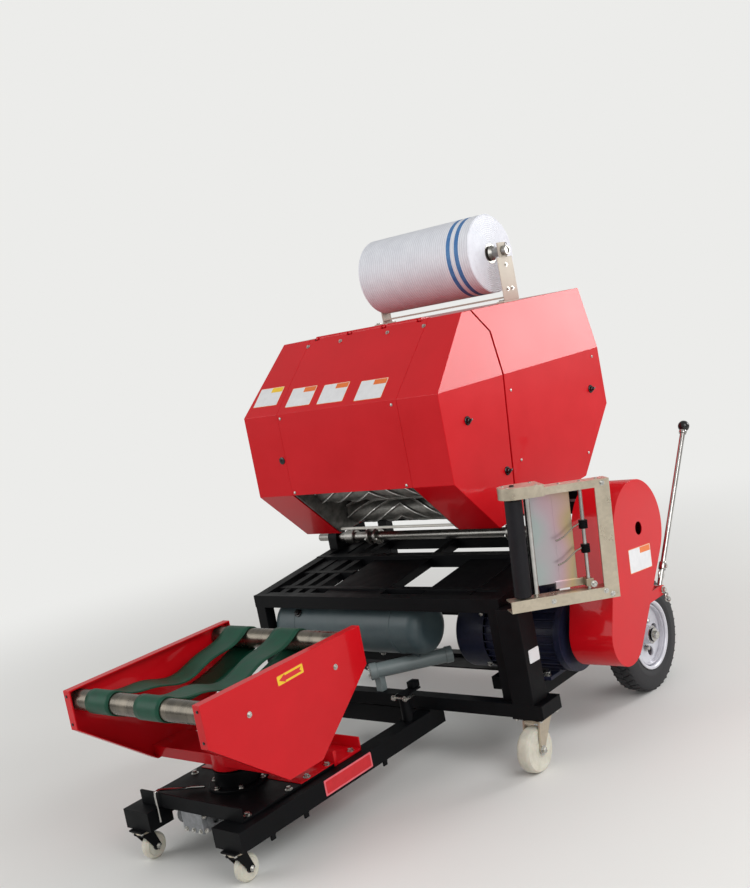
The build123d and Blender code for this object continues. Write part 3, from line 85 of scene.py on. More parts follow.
# %% [markdown]
# ## Camera
# The photograph was taken at about chest height, from the front right corner, with the camera tilted. A lens
# is easiest to state by the field of view, so the focal length in pixels becomes millimetres on a sensor whose
# 36 mm lie along the long side of the picture.

# %% Camera
PICTURE_LONG_SIDE = 888
FOCAL_PIXELS = 1154.6
SENSOR = 36
FAR_CLIP = 60
CAMERA_AZIMUTH = math.radians(41.1)
CAMERA_ELEVATION = math.radians(6.2)
CAMERA_ROLL = math.radians(-11.0)
CAMERA_PLACE = (2641.7, -3357.7, 1481.2)

camera_data = bpy.data.cameras.new("camera")
camera_data.sensor_width = SENSOR
camera_data.lens = FOCAL_PIXELS / PICTURE_LONG_SIDE * SENSOR
camera_data.clip_end = FAR_CLIP
camera = bpy.data.objects.new("camera", camera_data)
scene.collection.objects.link(camera)
flat_reach = math.cos(CAMERA_ELEVATION)
back = Vector((math.sin(CAMERA_AZIMUTH) * flat_reach, -math.cos(CAMERA_AZIMUTH) * flat_reach,
               math.sin(CAMERA_ELEVATION)))
untilted = (-back).to_track_quat("-Z", "Y")
camera.rotation_mode = "QUATERNION"
camera.rotation_quaternion = untilted @ Matrix.Rotation(CAMERA_ROLL, 4, "Z").to_quaternion()
camera.location = place(*CAMERA_PLACE)
scene.camera = camera
print("camera: lens", round(camera_data.lens, 2), "mm")

# %% [markdown]
# ## Light and floor
# Gloss paint shows what stands around it, so the machine gets large soft lamps and a pale surround, as in a
# studio tent: one broad key from the right, a fill from the left, and one behind on the right. The upper side
# covers lean back a little, so they mirror that last lamp to the camera and turn pale, while the covers below
# them stay deep red. The floor is a wide pale disc, and rays from the camera see the same pale tone in the
# surround. Far from the machine the floor turns into that tone too, so that no edge shows.

# %% Colours and nodes
def linear(hex_colour):
    """An sRGB hex colour as linear red, green, blue and alpha."""
    channels = [int(hex_colour[i:i + 2], 16) / 255 for i in (1, 3, 5)]
    return [c / 12.92 if c <= 0.04045 else ((c + 0.055) / 1.055) ** 2.4 for c in channels] + [1.0]


def add(tree, kind, inputs=None, **settings):
    """Add a node with its settings, its values and its links, and return it."""
    made = tree.nodes.new(kind)
    for name, value in settings.items():
        setattr(made, name, value)
    for socket, value in (inputs or {}).items():
        if isinstance(value, bpy.types.NodeSocket):
            tree.links.new(value, made.inputs[socket])
        else:
            made.inputs[socket].default_value = value
    return made


print("mid grey in linear light:", round(linear("#808080")[0], 3))

# %% Floor
FLOOR_RADIUS = 14
FLOOR_TONE = "#e4e4e2"
FLOOR_ROUGHNESS = 0.7
SURROUND_TONE = "#ececea"
FADE_FROM = 1.6
FADE_TO = 4.6

floor_mesh = bpy.data.meshes.new("floor")
bm = bmesh.new()
bmesh.ops.create_circle(bm, cap_ends=True, radius=FLOOR_RADIUS, segments=96)
bm.to_mesh(floor_mesh)
bm.free()
floor = bpy.data.objects.new("floor", floor_mesh)
scene.collection.objects.link(floor)
floor_paint = bpy.data.materials.new("floor_matt_paint")
floor_paint.use_nodes = True
floor_mesh.materials.append(floor_paint)
ground = floor_paint.node_tree
floor_shader = ground.nodes["Principled BSDF"]
floor_shader.inputs["Base Color"].default_value = linear(FLOOR_TONE)
floor_shader.inputs["Roughness"].default_value = FLOOR_ROUGHNESS
where = add(ground, "ShaderNodeTexCoord")
reach = add(ground, "ShaderNodeVectorMath", {0: where.outputs["Object"]}, operation="LENGTH")
fade = add(ground, "ShaderNodeMapRange",
           {"Value": reach.outputs["Value"], "From Min": FADE_FROM, "From Max": FADE_TO},
           interpolation_type="SMOOTHSTEP")
far_tone = add(ground, "ShaderNodeEmission", {"Color": linear(SURROUND_TONE), "Strength": 1.0})
floor_ray = add(ground, "ShaderNodeLightPath")
far_share = add(ground, "ShaderNodeMath", {0: fade.outputs[0], 1: floor_ray.outputs["Is Camera Ray"]},
                operation="MULTIPLY")
blended = add(ground, "ShaderNodeMixShader",
              {0: far_share.outputs[0], 1: floor_shader.outputs[0], 2: far_tone.outputs[0]})
ground.links.new(blended.outputs[0], ground.nodes["Material Output"].inputs["Surface"])
print("floor:", 2 * FLOOR_RADIUS, "m wide")

# %% Surround
SURROUND_LIGHT = 0.62
world = bpy.data.worlds.new("surround")
scene.world = world
world.use_nodes = True
sky = world.node_tree
backdrop = sky.nodes["Background"]
backdrop.inputs["Color"].default_value = linear(SURROUND_TONE)
backdrop.inputs["Strength"].default_value = SURROUND_LIGHT
seen = add(sky, "ShaderNodeBackground", {"Color": linear(SURROUND_TONE), "Strength": 1.0})
path = add(sky, "ShaderNodeLightPath")
mixed = add(sky, "ShaderNodeMixShader",
            {0: path.outputs["Is Camera Ray"], 1: backdrop.outputs[0], 2: seen.outputs[0]})
sky.links.new(mixed.outputs[0], sky.nodes["World Output"].inputs["Surface"])
print("surround:", SURROUND_TONE, "at", SURROUND_LIGHT)

# %% Lamps
# Each lamp: name, place and aim in millimetres, side in metres and watts
LAMPS = (
    ("key", (4200, -1700, 3000), (0, -300, 700), 3.2, 112),
    ("fill", (-2600, -3800, 2600), (0, -300, 700), 3.0, 60),
    ("edge", (2900, 3850, 2250), (430, 150, 1330), 1.8, 92),
)
for lamp_name, lamp_place, lamp_aim, lamp_side, lamp_watts in LAMPS:
    lamp_data = bpy.data.lights.new(lamp_name, "AREA")
    lamp_data.size = lamp_side
    lamp_data.energy = lamp_watts
    lamp = bpy.data.objects.new(lamp_name, lamp_data)
    scene.collection.objects.link(lamp)
    lamp.location = place(*lamp_place)
    lamp.visible_camera = False
    lamp.rotation_euler = (place(*lamp_aim) - lamp.location).to_track_quat("-Z", "Y").to_euler()
scene.view_settings.view_transform = "Standard"
print("lamps:", [row[0] for row in LAMPS])

# %% [markdown]
# ## Finishes
# A finish is more than a colour. Sprayed paint has slow changes of tone, powder coat a fine pebble, zinc has
# spangles and turned steel has rings. Most of them start from one pattern of soft noise that tints the colour,
# moves the roughness and may lift the surface a little, so one function lays that ground and each finish adds
# its own part. Patterns read Object coordinates, which are metres here, so a size in millimetres turns into a
# scale at once.

# %% Ground for a finish
NOISE_LOW = 0.3
NOISE_HIGH = 0.7
NOISE_ROUGHNESS = 0.6


def finish(name, dark, light, size, roughness, bump=0.0, metallic=0.0, stretch=(1, 1, 1), detail=6.0):
    """A material whose tone, roughness and relief follow noise of a size in millimetres."""
    made = bpy.data.materials.new(name)
    made.use_nodes = True
    tree = made.node_tree
    shader = tree.nodes["Principled BSDF"]
    shader.inputs["Metallic"].default_value = metallic
    place_on = add(tree, "ShaderNodeTexCoord")
    stretched = add(tree, "ShaderNodeMapping", {"Vector": place_on.outputs["Object"], "Scale": stretch})
    noise = add(tree, "ShaderNodeTexNoise", {"Vector": stretched.outputs[0], "Scale": 1000 / size,
                                             "Detail": detail, "Roughness": NOISE_ROUGHNESS})
    tone = add(tree, "ShaderNodeValToRGB", {"Fac": noise.outputs["Fac"]})
    for stop, position, colour in zip(tone.color_ramp.elements, (NOISE_LOW, NOISE_HIGH), (dark, light)):
        stop.position = position
        stop.color = linear(colour)
    tree.links.new(tone.outputs["Color"], shader.inputs["Base Color"])
    rough = add(tree, "ShaderNodeMapRange", {
        "Value": noise.outputs["Fac"], "From Min": NOISE_LOW, "From Max": NOISE_HIGH,
        "To Min": roughness[0], "To Max": roughness[1]})
    tree.links.new(rough.outputs[0], shader.inputs["Roughness"])
    if bump:
        relief = add(tree, "ShaderNodeBump", {"Height": noise.outputs["Fac"], "Distance": bump / 1000})
        tree.links.new(relief.outputs["Normal"], shader.inputs["Normal"])
    return made


def parts_of(made):
    """A finish's node tree, its shader and the coordinates that its pattern reads."""
    tree = made.node_tree
    return tree, tree.nodes["Principled BSDF"], tree.nodes["Mapping"].outputs[0]


def shade(made, **values):
    """Set plain values on a finish's shader, with an underscore for each space in a socket's name."""
    for name, value in values.items():
        made.node_tree.nodes["Principled BSDF"].inputs[name.replace("_", " ")].default_value = value


def tint(made, pattern, low, high):
    """Darken and lighten a finish's colour between two factors, as a pattern says."""
    tree, shader, _ = parts_of(made)
    factor = add(tree, "ShaderNodeMapRange", {"Value": pattern, "To Min": low, "To Max": high})
    plain = shader.inputs["Base Color"].links[0].from_socket
    tinted = add(tree, "ShaderNodeVectorMath", {0: plain, 1: factor.outputs[0]}, operation="MULTIPLY")
    tree.links.new(tinted.outputs[0], shader.inputs["Base Color"])


# %% Paints
# Gloss red enamel sprayed on sheet steel: deep colour with slow changes of tone, and sharp reflections
red_paint = finish("red_gloss_enamel", "#c00814", "#cb0e1b", 240, (0.3, 0.4))
shade(red_paint, Specular_IOR_Level=0.12, Coat_Weight=0.34, Coat_Roughness=0.06)
# Black powder coat on tube: soft highlights and a fine pebble
black_paint = finish("black_powder_coat", "#060709", "#0b0c0f", 60, (0.42, 0.56), bump=0.12)
shade(black_paint, Specular_IOR_Level=0.12)
# Grey primer of the air tank: satin, with a little grain
grey_paint = finish("grey_primer", "#36454a", "#465558", 90, (0.36, 0.52), bump=0.1)
# Pale satin enamel of the cylinder's tube
tube_paint = finish("pale_grey_enamel", "#6d7879", "#7d8889", 120, (0.3, 0.42))
# Navy machine enamel on cast iron: satin, with the casting's grain under it
navy_paint = finish("navy_machine_enamel", "#14172b", "#1c2038", 14, (0.35, 0.5), bump=0.35)
shade(navy_paint, Specular_IOR_Level=0.3)
# Silver-grey enamel on the gear motor's casting: satin and grainy
gear_paint = finish("grey_cast_enamel", "#6b6d70", "#85878a", 12, (0.38, 0.52), bump=0.3)
# White enamel on the tie bar, yellowed a little by crop juice
white_paint = finish("white_enamel", "#e2dfd5", "#eeece6", 70, (0.3, 0.45))
# Silver wheel enamel: a faint metal glint under a clear coat
rim_paint = finish("silver_wheel_enamel", "#c2c2ca", "#d2d2d9", 50, (0.3, 0.42), metallic=0.2)
shade(rim_paint, Coat_Weight=0.3, Coat_Roughness=0.15)
print("paints mixed")

# %% Metals
# Hot-rolled steel scoured by crop: dark patches between rubbed ones
chamber_steel = finish("crop_scoured_steel", "#5c5c59", "#8c8a85", 26, (0.34, 0.55), 0.25, 0.6)
# The same steel where crop rubs it bright, lightened further as a painted highlight on the rib crowns
rubbed_steel_and_highlight = finish("rubbed_steel_painted_highlight", "#d2d1cd", "#ebeae6", 18, (0.22, 0.36), 0.1, 0.5)
# Turned shafting: fine rings round the X axis, so the noise is squeezed along X
turned_steel = finish("turned_shaft_steel", "#7d7b77", "#a5a39e", 30, (0.24, 0.38), 0.05, 0.95, (40, 1, 1))
# Drawn tube of the table rollers, browned by oil and belt dust
drawn_tube = finish("oiled_drawn_tube", "#57534c", "#7d766b", 120, (0.22, 0.34), 0.0, 0.9, (3, 1, 1), 2.0)
# Polished round bar of the lever and the film roller: clear reflections
polished_steel = finish("polished_bar_steel", "#a9a6a3", "#c9c7c4", 40, (0.12, 0.24), 0.0, 1.0)
# Bright zinc on small screws and washers: pale and crisp
bright_zinc = finish("bright_zinc_plate", "#b4b3ae", "#d0cfca", 8, (0.22, 0.34), 0.0, 1.0)
# Zinc on rolled flat bar, dull and chalky, so that it doesn't mirror the lamps
dull_zinc = finish("weathered_zinc_bar", "#b9afa2", "#c8bfb2", 60, (0.55, 0.68), 0.02, 0.1)
# Galvanised sheet: crystals of zinc, each a little lighter or darker than the next
SPANGLE = 9
zinc = finish("galvanised_sheet", "#b7ac99", "#c5baa7", 60, (0.26, 0.36), 0.02, 0.75, detail=3.0)
zinc_tree, _, zinc_place = parts_of(zinc)
crystals = add(zinc_tree, "ShaderNodeTexVoronoi", {"Vector": zinc_place, "Scale": 1000 / SPANGLE})
tint(zinc, crystals.outputs["Color"], 0.93, 1.06)
print("metals mixed")

# %% Chromate
# Yellow chromate over zinc: a thin film whose tint drifts along the sheet from blue-green through rose to
# straw. The drift follows the slant of the sheet, and soft noise bends it.
DRIFT = 150
DRIFT_WAY = (0.63, 0.77, -0.2)
DRIFT_MIDDLE = (736, -432, 700)
DRIFT_HUES = ((0.26, "#b0a4aa"), (0.46, "#b89ba2"), (0.62, "#b89a8c"), (0.8, "#b09b76"))
chromate = finish("yellow_chromate_zinc", "#a3adab", "#9d8f7c", 120, (0.3, 0.34), 0.0, 0.75, detail=0.0)
tree, shader, film_place = parts_of(chromate)
film_tone = shader.inputs["Base Color"].links[0].from_node
from_middle = add(tree, "ShaderNodeVectorMath", {0: film_place, 1: place(*DRIFT_MIDDLE)}, operation="SUBTRACT")
down_sheet = add(tree, "ShaderNodeVectorMath", {0: from_middle.outputs[0], 1: DRIFT_WAY},
                 operation="DOT_PRODUCT")
sway = film_tone.inputs["Fac"].links[0].from_socket
drift = add(tree, "ShaderNodeMath", {0: down_sheet.outputs["Value"], 1: 1000 / DRIFT, 2: sway},
            operation="MULTIPLY_ADD")
tree.links.new(drift.outputs[0], film_tone.inputs["Fac"])
film_tone.color_ramp.elements[0].position = 0.0
film_tone.color_ramp.elements[1].position = 1.0
for position, hue in DRIFT_HUES:
    film_tone.color_ramp.elements.new(position).color = linear(hue)
print("chromate drifts over", DRIFT, "mm")

# %% Rubber and plastics
# Vulcanised black rubber of the film roller: smooth, with a soft sheen
black_rubber = finish("vulcanised_rubber", "#0d0c10", "#16141a", 35, (0.42, 0.56))
shade(black_rubber, Specular_IOR_Level=0.25)
# Tyre rubber: matt, greyed by floor dust
tyre_rubber = finish("tyre_rubber", "#1c1c1e", "#2b2b2e", 16, (0.62, 0.8), bump=0.3)
# Cast nylon of the caster wheels: waxy cream
nylon = finish("cast_nylon", "#c2beb0", "#d6d2c4", 30, (0.35, 0.5))
shade(nylon, Subsurface_Weight=0.15, Subsurface_Scale=0.004)
# Phenolic ball and latch knobs: hard, black and glossy
knob_plastic = finish("phenolic_plastic", "#0a0a0b", "#111113", 20, (0.16, 0.26))
# PVC belting: dark green, with a slight grain
belt_pvc = finish("green_pvc_belting", "#083a2a", "#0d4b37", 30, (0.4, 0.52), bump=0.1)
shade(belt_pvc, Specular_IOR_Level=0.3)
# Vinyl film on the blank plates: flat colour with a soft sheen
VINYL_GRAIN = 25
VINYL_ROUGHNESS = (0.3, 0.4)
plate_white = finish("white_vinyl", "#d6d6d8", "#e0e0e2", VINYL_GRAIN, VINYL_ROUGHNESS)
plate_orange = finish("orange_vinyl", "#d9661f", "#e2752c", VINYL_GRAIN, VINYL_ROUGHNESS)
plate_yellow = finish("yellow_vinyl", "#e6b91e", "#f0c62c", VINYL_GRAIN, VINYL_ROUGHNESS)
plate_red = finish("red_vinyl", "#c81722", "#d4202b", VINYL_GRAIN, VINYL_ROUGHNESS)
plate_rose = finish("rose_vinyl", "#e4626c", "#ec727b", VINYL_GRAIN, VINYL_ROUGHNESS)
print("rubber and plastics mixed")

# %% Net and board
# Knitted net, wound tight: the thread courses show as fine rings round the roll. Real courses are under 1 mm
# apart, so they are drawn about 10 mm apart to show. A wave of scale 1 repeats every tenth of pi.
COURSE = 9.87
COURSE_RELIEF = 0.6
net_knit = finish("knitted_polyethylene", "#d6d8e0", "#e0e2e9", 40, (0.45, 0.6), bump=0.15)
tree, shader, net_place = parts_of(net_knit)
courses = add(tree, "ShaderNodeTexWave", {
    "Vector": net_place, "Scale": 1000 / COURSE * math.pi / 10, "Distortion": 2.2, "Detail": 3.0,
    "Detail Scale": 2.0}, bands_direction="X")
net_relief = add(tree, "ShaderNodeBump", {
    "Height": courses.outputs["Fac"], "Distance": COURSE_RELIEF / 1000,
    "Normal": shader.inputs["Normal"].links[0].from_socket})
tree.links.new(net_relief.outputs["Normal"], shader.inputs["Normal"])
tint(net_knit, courses.outputs["Fac"], 0.9, 1.08)
# Blue yarn of the bands: mottled, with a rough surface
net_blue = finish("blue_marked_knit", "#2f64a0", "#4a80b4", 22, (0.45, 0.6), bump=0.4)
# Grey cardboard of the net's core: flat and fibrous
board = finish("grey_core_board", "#54504a", "#6a655d", 10, (0.7, 0.85), bump=0.2)
print("net and board mixed")

# %% [markdown]
# ## Solids that stay
# A CAD solid has knife edges, and real sheet and tube never do: a soft edge catches a thin line of light.
# The solid's mesh is left alone, so modifiers do it: the loose triangles are welded, flat ones are joined into
# whole faces, and a small bevel then runs along the real edges only. Last, the large faces are told to keep
# level normals, or a mirrored lamp would bend on them.

# %% Dressing the solids
FINISH_OF_SLOT = {
    "red_paint": red_paint, "black_paint": black_paint, "grey_paint": grey_paint, "navy_paint": navy_paint,
    "gear_paint": gear_paint, "chamber_steel": chamber_steel, "white_paint": white_paint,
    "shaft_steel": turned_steel, "zinc": zinc, "chromate": chromate, "black_rubber": black_rubber,
    "knob_plastic": knob_plastic, "net_wrap": net_knit, "belt_green": belt_pvc, "tyre_rubber": tyre_rubber,
    "rim_silver": rim_paint, "nylon": nylon,
}
OWN_FINISH = {
    "tension_lever": polished_steel, "film_steel_roller": polished_steel, "film_wires": polished_steel,
    "air_cylinder": tube_paint, "table_roller_front": drawn_tube, "table_roller_rear": drawn_tube,
    "turntable_base": black_paint, "net_bracket": dull_zinc,
}
WELD_REACH = 0.02
FLAT_ANGLE = math.radians(0.5)
EDGE = 1.5
EDGE_ANGLE = math.radians(32)
for subpart in frame["record"]["subparts"]:
    node = nodes[subpart["node"]]
    node.data.materials.clear()
    node.data.materials.append(OWN_FINISH.get(node.name, FINISH_OF_SLOT[subpart["material_slot"]]))
    weld = node.modifiers.new("weld", "WELD")
    weld.merge_threshold = WELD_REACH / 1000
    flat = node.modifiers.new("whole_faces", "DECIMATE")
    flat.decimate_type = "DISSOLVE"
    flat.angle_limit = FLAT_ANGLE
    edge = node.modifiers.new("soft_edge", "BEVEL")
    edge.width = EDGE / 1000
    edge.segments = 2
    edge.limit_method = "ANGLE"
    edge.angle_limit = EDGE_ANGLE
    edge.harden_normals = True
    level = node.modifiers.new("level_faces", "WEIGHTED_NORMAL")
    level.weight = 100
    level.keep_sharp = True
print("dressed", len(nodes), "solids")

# %% [markdown]
# ## Modelling tools
# Small shapes are made one at a time with bmesh operators, each in a mesh of its own, and then moved into the
# piece that carries them. That keeps every shape easy to check, and its finish is given as it is put in.

# %% From shapes to a piece
SMOOTH_ANGLE = math.radians(35)


def put(bm, shape, finish_index=0, matrix=Matrix()):
    """Move a shape into a larger mesh, with its place and its finish."""
    bmesh.ops.transform(shape, matrix=matrix, verts=shape.verts)
    for face in shape.faces:
        face.material_index = finish_index
    carrier = bpy.data.meshes.new("shape")
    shape.to_mesh(carrier)
    shape.free()
    bm.from_mesh(carrier)
    bpy.data.meshes.remove(carrier)


def piece(bm, name, body, finishes, stands_for=()):
    """Turn a mesh in millimetres into a piece of the machine that rides on a body."""
    bmesh.ops.transform(bm, matrix=TO_FRAME, verts=bm.verts)
    mesh = bpy.data.meshes.new(name)
    bm.to_mesh(mesh)
    bm.free()
    for finish_made in finishes:
        mesh.materials.append(finish_made)
    mesh.shade_smooth()
    mesh.set_sharp_from_angle(angle=SMOOTH_ANGLE)
    made = bpy.data.objects.new(name, mesh)
    scene.collection.objects.link(made)
    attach(made, body)
    if stands_for:
        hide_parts(*stands_for)
    print(name, len(mesh.polygons), "faces on", body)
    return made


# %% Basic shapes
def block(x, y, z, soft=1.5):
    """A block between limits, with softened edges."""
    shape = bmesh.new()
    size = [limit[1] - limit[0] for limit in (x, y, z)]
    centre = [(limit[1] + limit[0]) / 2 for limit in (x, y, z)]
    bmesh.ops.create_cube(shape, size=1, matrix=Matrix.Translation(centre) @ Matrix.Diagonal((*size, 1)))
    bmesh.ops.bevel(shape, geom=shape.edges[:], offset=soft, segments=2, profile=0.5, affect="EDGES",
                    material=-1)
    return shape


def rod(start, end, radius, segments=24):
    """A round bar between two points."""
    shape = bmesh.new()
    run = Vector(end) - Vector(start)
    bmesh.ops.create_cone(shape, cap_ends=True, segments=segments, radius1=radius, radius2=radius,
                          depth=run.length)
    turn = run.to_track_quat("Z", "Y").to_matrix().to_4x4()
    middle = (Vector(start) + Vector(end)) / 2
    bmesh.ops.transform(shape, matrix=Matrix.Translation(middle) @ turn, verts=shape.verts)
    return shape


def lathe(profile, steps=48, closed=False):
    """Turn a profile of (along, radius) points about the X axis."""
    shape = bmesh.new()
    points = [shape.verts.new((along, radius, 0)) for along, radius in profile]
    for pair in zip(points, points[1:]):
        shape.edges.new(pair)
    if closed:
        shape.edges.new((points[-1], points[0]))
    bmesh.ops.spin(shape, geom=shape.verts[:] + shape.edges[:], cent=(0, 0, 0), axis=(1, 0, 0),
                   angle=2 * math.pi, steps=steps, use_merge=True)
    bmesh.ops.remove_doubles(shape, verts=shape.verts, dist=0.001)
    bmesh.ops.recalc_face_normals(shape, faces=shape.faces)
    return shape


def flipped(profile, side):
    """A turned profile as it is for side 1, and mirrored along its axis for side -1."""
    return [(side * along, radius) for along, radius in profile]


def stand(place_on, outward):
    """A matrix that stands a shape's Z axis on a point, pointing outward."""
    return Matrix.Translation(place_on) @ Vector(outward).to_track_quat("Z", "Y").to_matrix().to_4x4()


def bent_bar(points, radius, segments=10):
    """A round bar bent through a list of points, as one swept ring."""
    shape = bmesh.new()
    points = [Vector(p) for p in points]
    ways = [(b - a).normalized() for a, b in zip(points, points[1:])]
    along = [ways[0]] + [(a + b).normalized() for a, b in zip(ways, ways[1:])] + [ways[-1]]
    ring = bmesh.ops.create_circle(shape, segments=segments, radius=radius, cap_ends=True,
                                   matrix=stand(points[0], along[0]))["verts"]
    edges = list({e for v in ring for e in v.link_edges})
    for here, there, way, next_way in zip(points, points[1:], along, along[1:]):
        grown = bmesh.ops.extrude_edge_only(shape, edges=edges)["geom"]
        ring = [g for g in grown if isinstance(g, bmesh.types.BMVert)]
        edges = [g for g in grown if isinstance(g, bmesh.types.BMEdge)]
        turn = way.rotation_difference(next_way).to_matrix().to_4x4()
        move = Matrix.Translation(there) @ turn @ Matrix.Translation(-here)
        bmesh.ops.transform(shape, matrix=move, verts=ring)
    bmesh.ops.contextual_create(shape, geom=edges)
    bmesh.ops.recalc_face_normals(shape, faces=shape.faces)
    return shape


# %% Bolts and places
UP = (0, 0, 1)
DOWN = (0, 0, -1)


def turns(count, first=0.0, axis="X"):
    """Matrices that turn a shape to even places round an axis."""
    return [Matrix.Rotation(first + 2 * math.pi * step / count, 4, axis) for step in range(count)]


def hexagon_bolt(width, height):
    """A hexagon head with a chamfer, on a washer, standing on Z = 0."""
    shape = bmesh.new()
    washer = height / 5
    bmesh.ops.create_cone(shape, cap_ends=True, segments=24, radius1=width * 0.75, radius2=width * 0.75,
                          depth=washer, matrix=Matrix.Translation((0, 0, washer / 2)))
    head = bmesh.ops.create_cone(shape, cap_ends=True, segments=6, radius1=width / 2, radius2=width / 2,
                                 depth=height, matrix=Matrix.Translation((0, 0, washer + height / 2)))
    edges = {edge for vert in head["verts"] for edge in vert.link_edges}
    top = [edge for edge in edges if min(vert.co.z for vert in edge.verts) > height]
    bmesh.ops.bevel(shape, geom=top, offset=height / 6, segments=1, profile=0.5, affect="EDGES", material=-1)
    return shape


def bolts(bm, size, finish_index, places, outward, on=Matrix()):
    """Hexagon bolts of one width and height at several places, all pointing one way."""
    for spot in places:
        put(bm, hexagon_bolt(*size), finish_index, on @ stand(spot, outward))


print("tools ready")

# %% [markdown]
# ## Chamber rollers
# Ten rollers turn the crop into a bale. Each is a steel drum with raised ribs in a herringbone that meets in
# the middle, so that it grips the bale and doesn't pull it to one side. A rib is a helix, and spin makes one
# directly when it is also given a step along its axis. The crown that rubs on the crop is bright, partly from
# wear and partly as a painted highlight; the flanks and the drum stay dark.

# %% Herringbone rollers
DRUM_RADIUS = 40
DRUM_HALF = 260
DRUM_EDGE = 3
JOURNAL_RADIUS = 15
PLATE_OUT = 275
RIB_TIP = 47
RIB_FLANK = ((DRUM_RADIUS - 2, 4.5), (RIB_TIP - 2, 4.5), (RIB_TIP, 2))
RIB_COUNT = 6
RIB_TWIST = math.radians(178)
RIB_STEPS = 26
CROWN = 0.8
ROLLER_STEP = math.radians(17)


def herringbone_roller():
    """A ribbed drum on the X axis, with its journals. Finish 0 is the drum's and 1 the rib crowns'."""
    bm = bmesh.new()
    end = [(DRUM_HALF, 0), (DRUM_HALF, DRUM_RADIUS - DRUM_EDGE), (DRUM_HALF - DRUM_EDGE, DRUM_RADIUS)]
    put(bm, lathe(flipped(end, -1) + end[::-1], 40))
    put(bm, rod((-PLATE_OUT, 0, 0), (PLATE_OUT, 0, 0), JOURNAL_RADIUS))
    for side in (-1, 1):
        for turn in turns(RIB_COUNT):
            rib = bmesh.new()
            section = [rib.verts.new((0, radius, -across)) for radius, across in RIB_FLANK]
            section += [rib.verts.new((0, radius, across)) for radius, across in reversed(RIB_FLANK)]
            start = rib.faces.new(section)
            bmesh.ops.spin(rib, geom=[start], cent=(0, 0, 0), axis=(1, 0, 0), angle=RIB_TWIST,
                           steps=RIB_STEPS, dvec=(side * DRUM_HALF / RIB_STEPS, 0, 0))
            bmesh.ops.recalc_face_normals(rib, faces=rib.faces)
            put(bm, rib, 0, turn)
    # Rib crowns get finish 1: crop-rubbed steel, painted lighter as a painted highlight
    for face in bm.faces:
        centre = face.calc_center_median()
        if math.hypot(centre.y, centre.z) > RIB_TIP - CROWN:
            face.material_index = 1
    return bm


for number in range(1, 6):
    for half in ("gate", "rear"):
        roller = f"{half}_roller_{number}"
        low, high = box_mm(roller)
        bm = herringbone_roller()
        turn = Matrix.Rotation(ROLLER_STEP * number, 4, "X")
        bmesh.ops.transform(bm, matrix=Matrix.Translation((low + high) / 2) @ turn, verts=bm.verts)
        piece(bm, f"ribbed_{roller}", roller, (chamber_steel, rubbed_steel_and_highlight), [roller])

# %% [markdown]
# ## Net roll
# The net that holds the finished bale is knitted film yarn, wound on a board core. Its ends show the layers as
# fine rings, and two blue bands mark one edge. The roll is one profile turned about its axis: the bands are
# rings of the same surface with their own finish, and the last turn of net stands a little proud and ends
# along the roll.

# %% Net roll
NET_BANDS = ((42, 18), (78, 18))
NET_LAYERS = 14
LAYER_DEPTH = 1.4
NET_EDGE = 3
CORE_RADIUS = 38
LAP = 1.2
LAP_EDGE = 2
LAP_ANGLE = math.radians(330)
LAP_START = math.radians(75)
low, high = box_mm("net_roll")
net_radius = (high.z - low.z) / 2
wound = net_radius - LAP
net_axis = Matrix.Translation((0, (low.y + high.y) / 2, (low.z + high.z) / 2))


def along_roll(edge, radius):
    """Points along the roll's surface from left to right, with one at each edge of a band."""
    bands = []
    for distance, width in reversed(NET_BANDS):
        bands += [(high.x - distance - width, radius), (high.x - distance, radius)]
    return [(low.x + edge, radius)] + bands + [(high.x - edge, radius)]


layers = [(LAYER_DEPTH * (layer % 2), layer / (2 * NET_LAYERS)) for layer in range(2 * NET_LAYERS + 1)]
rings = [(inset, CORE_RADIUS + (wound - NET_EDGE - CORE_RADIUS) * share) for inset, share in layers]
profile = [(low.x + inset, radius) for inset, radius in rings] + along_roll(NET_EDGE, wound)
profile += [(high.x - inset, radius) for inset, radius in reversed(rings)]
bm = bmesh.new()
put(bm, lathe(profile, 96, closed=True), 0, net_axis)
last_turn = bmesh.new()
points = [last_turn.verts.new((along, radius, 0)) for along, radius in along_roll(LAP_EDGE, net_radius)]
for pair in zip(points, points[1:]):
    last_turn.edges.new(pair)
bmesh.ops.spin(last_turn, geom=last_turn.edges[:] + last_turn.verts[:], cent=(0, 0, 0), axis=(1, 0, 0),
               angle=LAP_ANGLE, steps=88)
bmesh.ops.recalc_face_normals(last_turn, faces=last_turn.faces)
bmesh.ops.solidify(last_turn, geom=last_turn.faces[:], thickness=LAP)
put(bm, last_turn, 0, net_axis @ Matrix.Rotation(LAP_START, 4, "X"))
for face in bm.faces:
    centre = face.calc_center_median() - net_axis.translation
    if any(distance < high.x - centre.x < distance + width for distance, width in NET_BANDS):
        face.material_index = 1
    if math.hypot(centre.y, centre.z) < CORE_RADIUS + 1:
        face.material_index = 2
piece(bm, "knitted_net_roll", "net", (net_knit, net_blue, board), ["net_roll"])

# %% [markdown]
# ## Plates, screws and latches
# The sheet-metal covers are held by quarter-turn latches and small screws, and they carry blank plates where a
# buyer's own signs go. All of them stand on a face, so one matrix is enough to place any of them: X along the
# face, Y up it and Z out of it. Turned shapes come from the same lathe as the rollers, tipped upright.

# %% Shapes that stand on a face
UPRIGHT = Matrix.Rotation(-math.pi / 2, 4, "Y")


def facing(centre, right, up=UP):
    """A matrix that lays a shape's X and Y on a face, with Z out of it."""
    right = Vector(right).normalized()
    out = right.cross(Vector(up)).normalized()
    turn = Matrix((right, out.cross(right), out)).transposed()
    return Matrix.Translation(centre) @ turn.to_4x4()


def raised(shape, height):
    """A flat shape on Z = 0, given a height."""
    grown = bmesh.ops.extrude_face_region(shape, geom=shape.faces[:])["geom"]
    top = [g for g in grown if isinstance(g, bmesh.types.BMVert)]
    bmesh.ops.translate(shape, vec=(0, 0, height), verts=top)
    bmesh.ops.recalc_face_normals(shape, faces=shape.faces)
    return shape


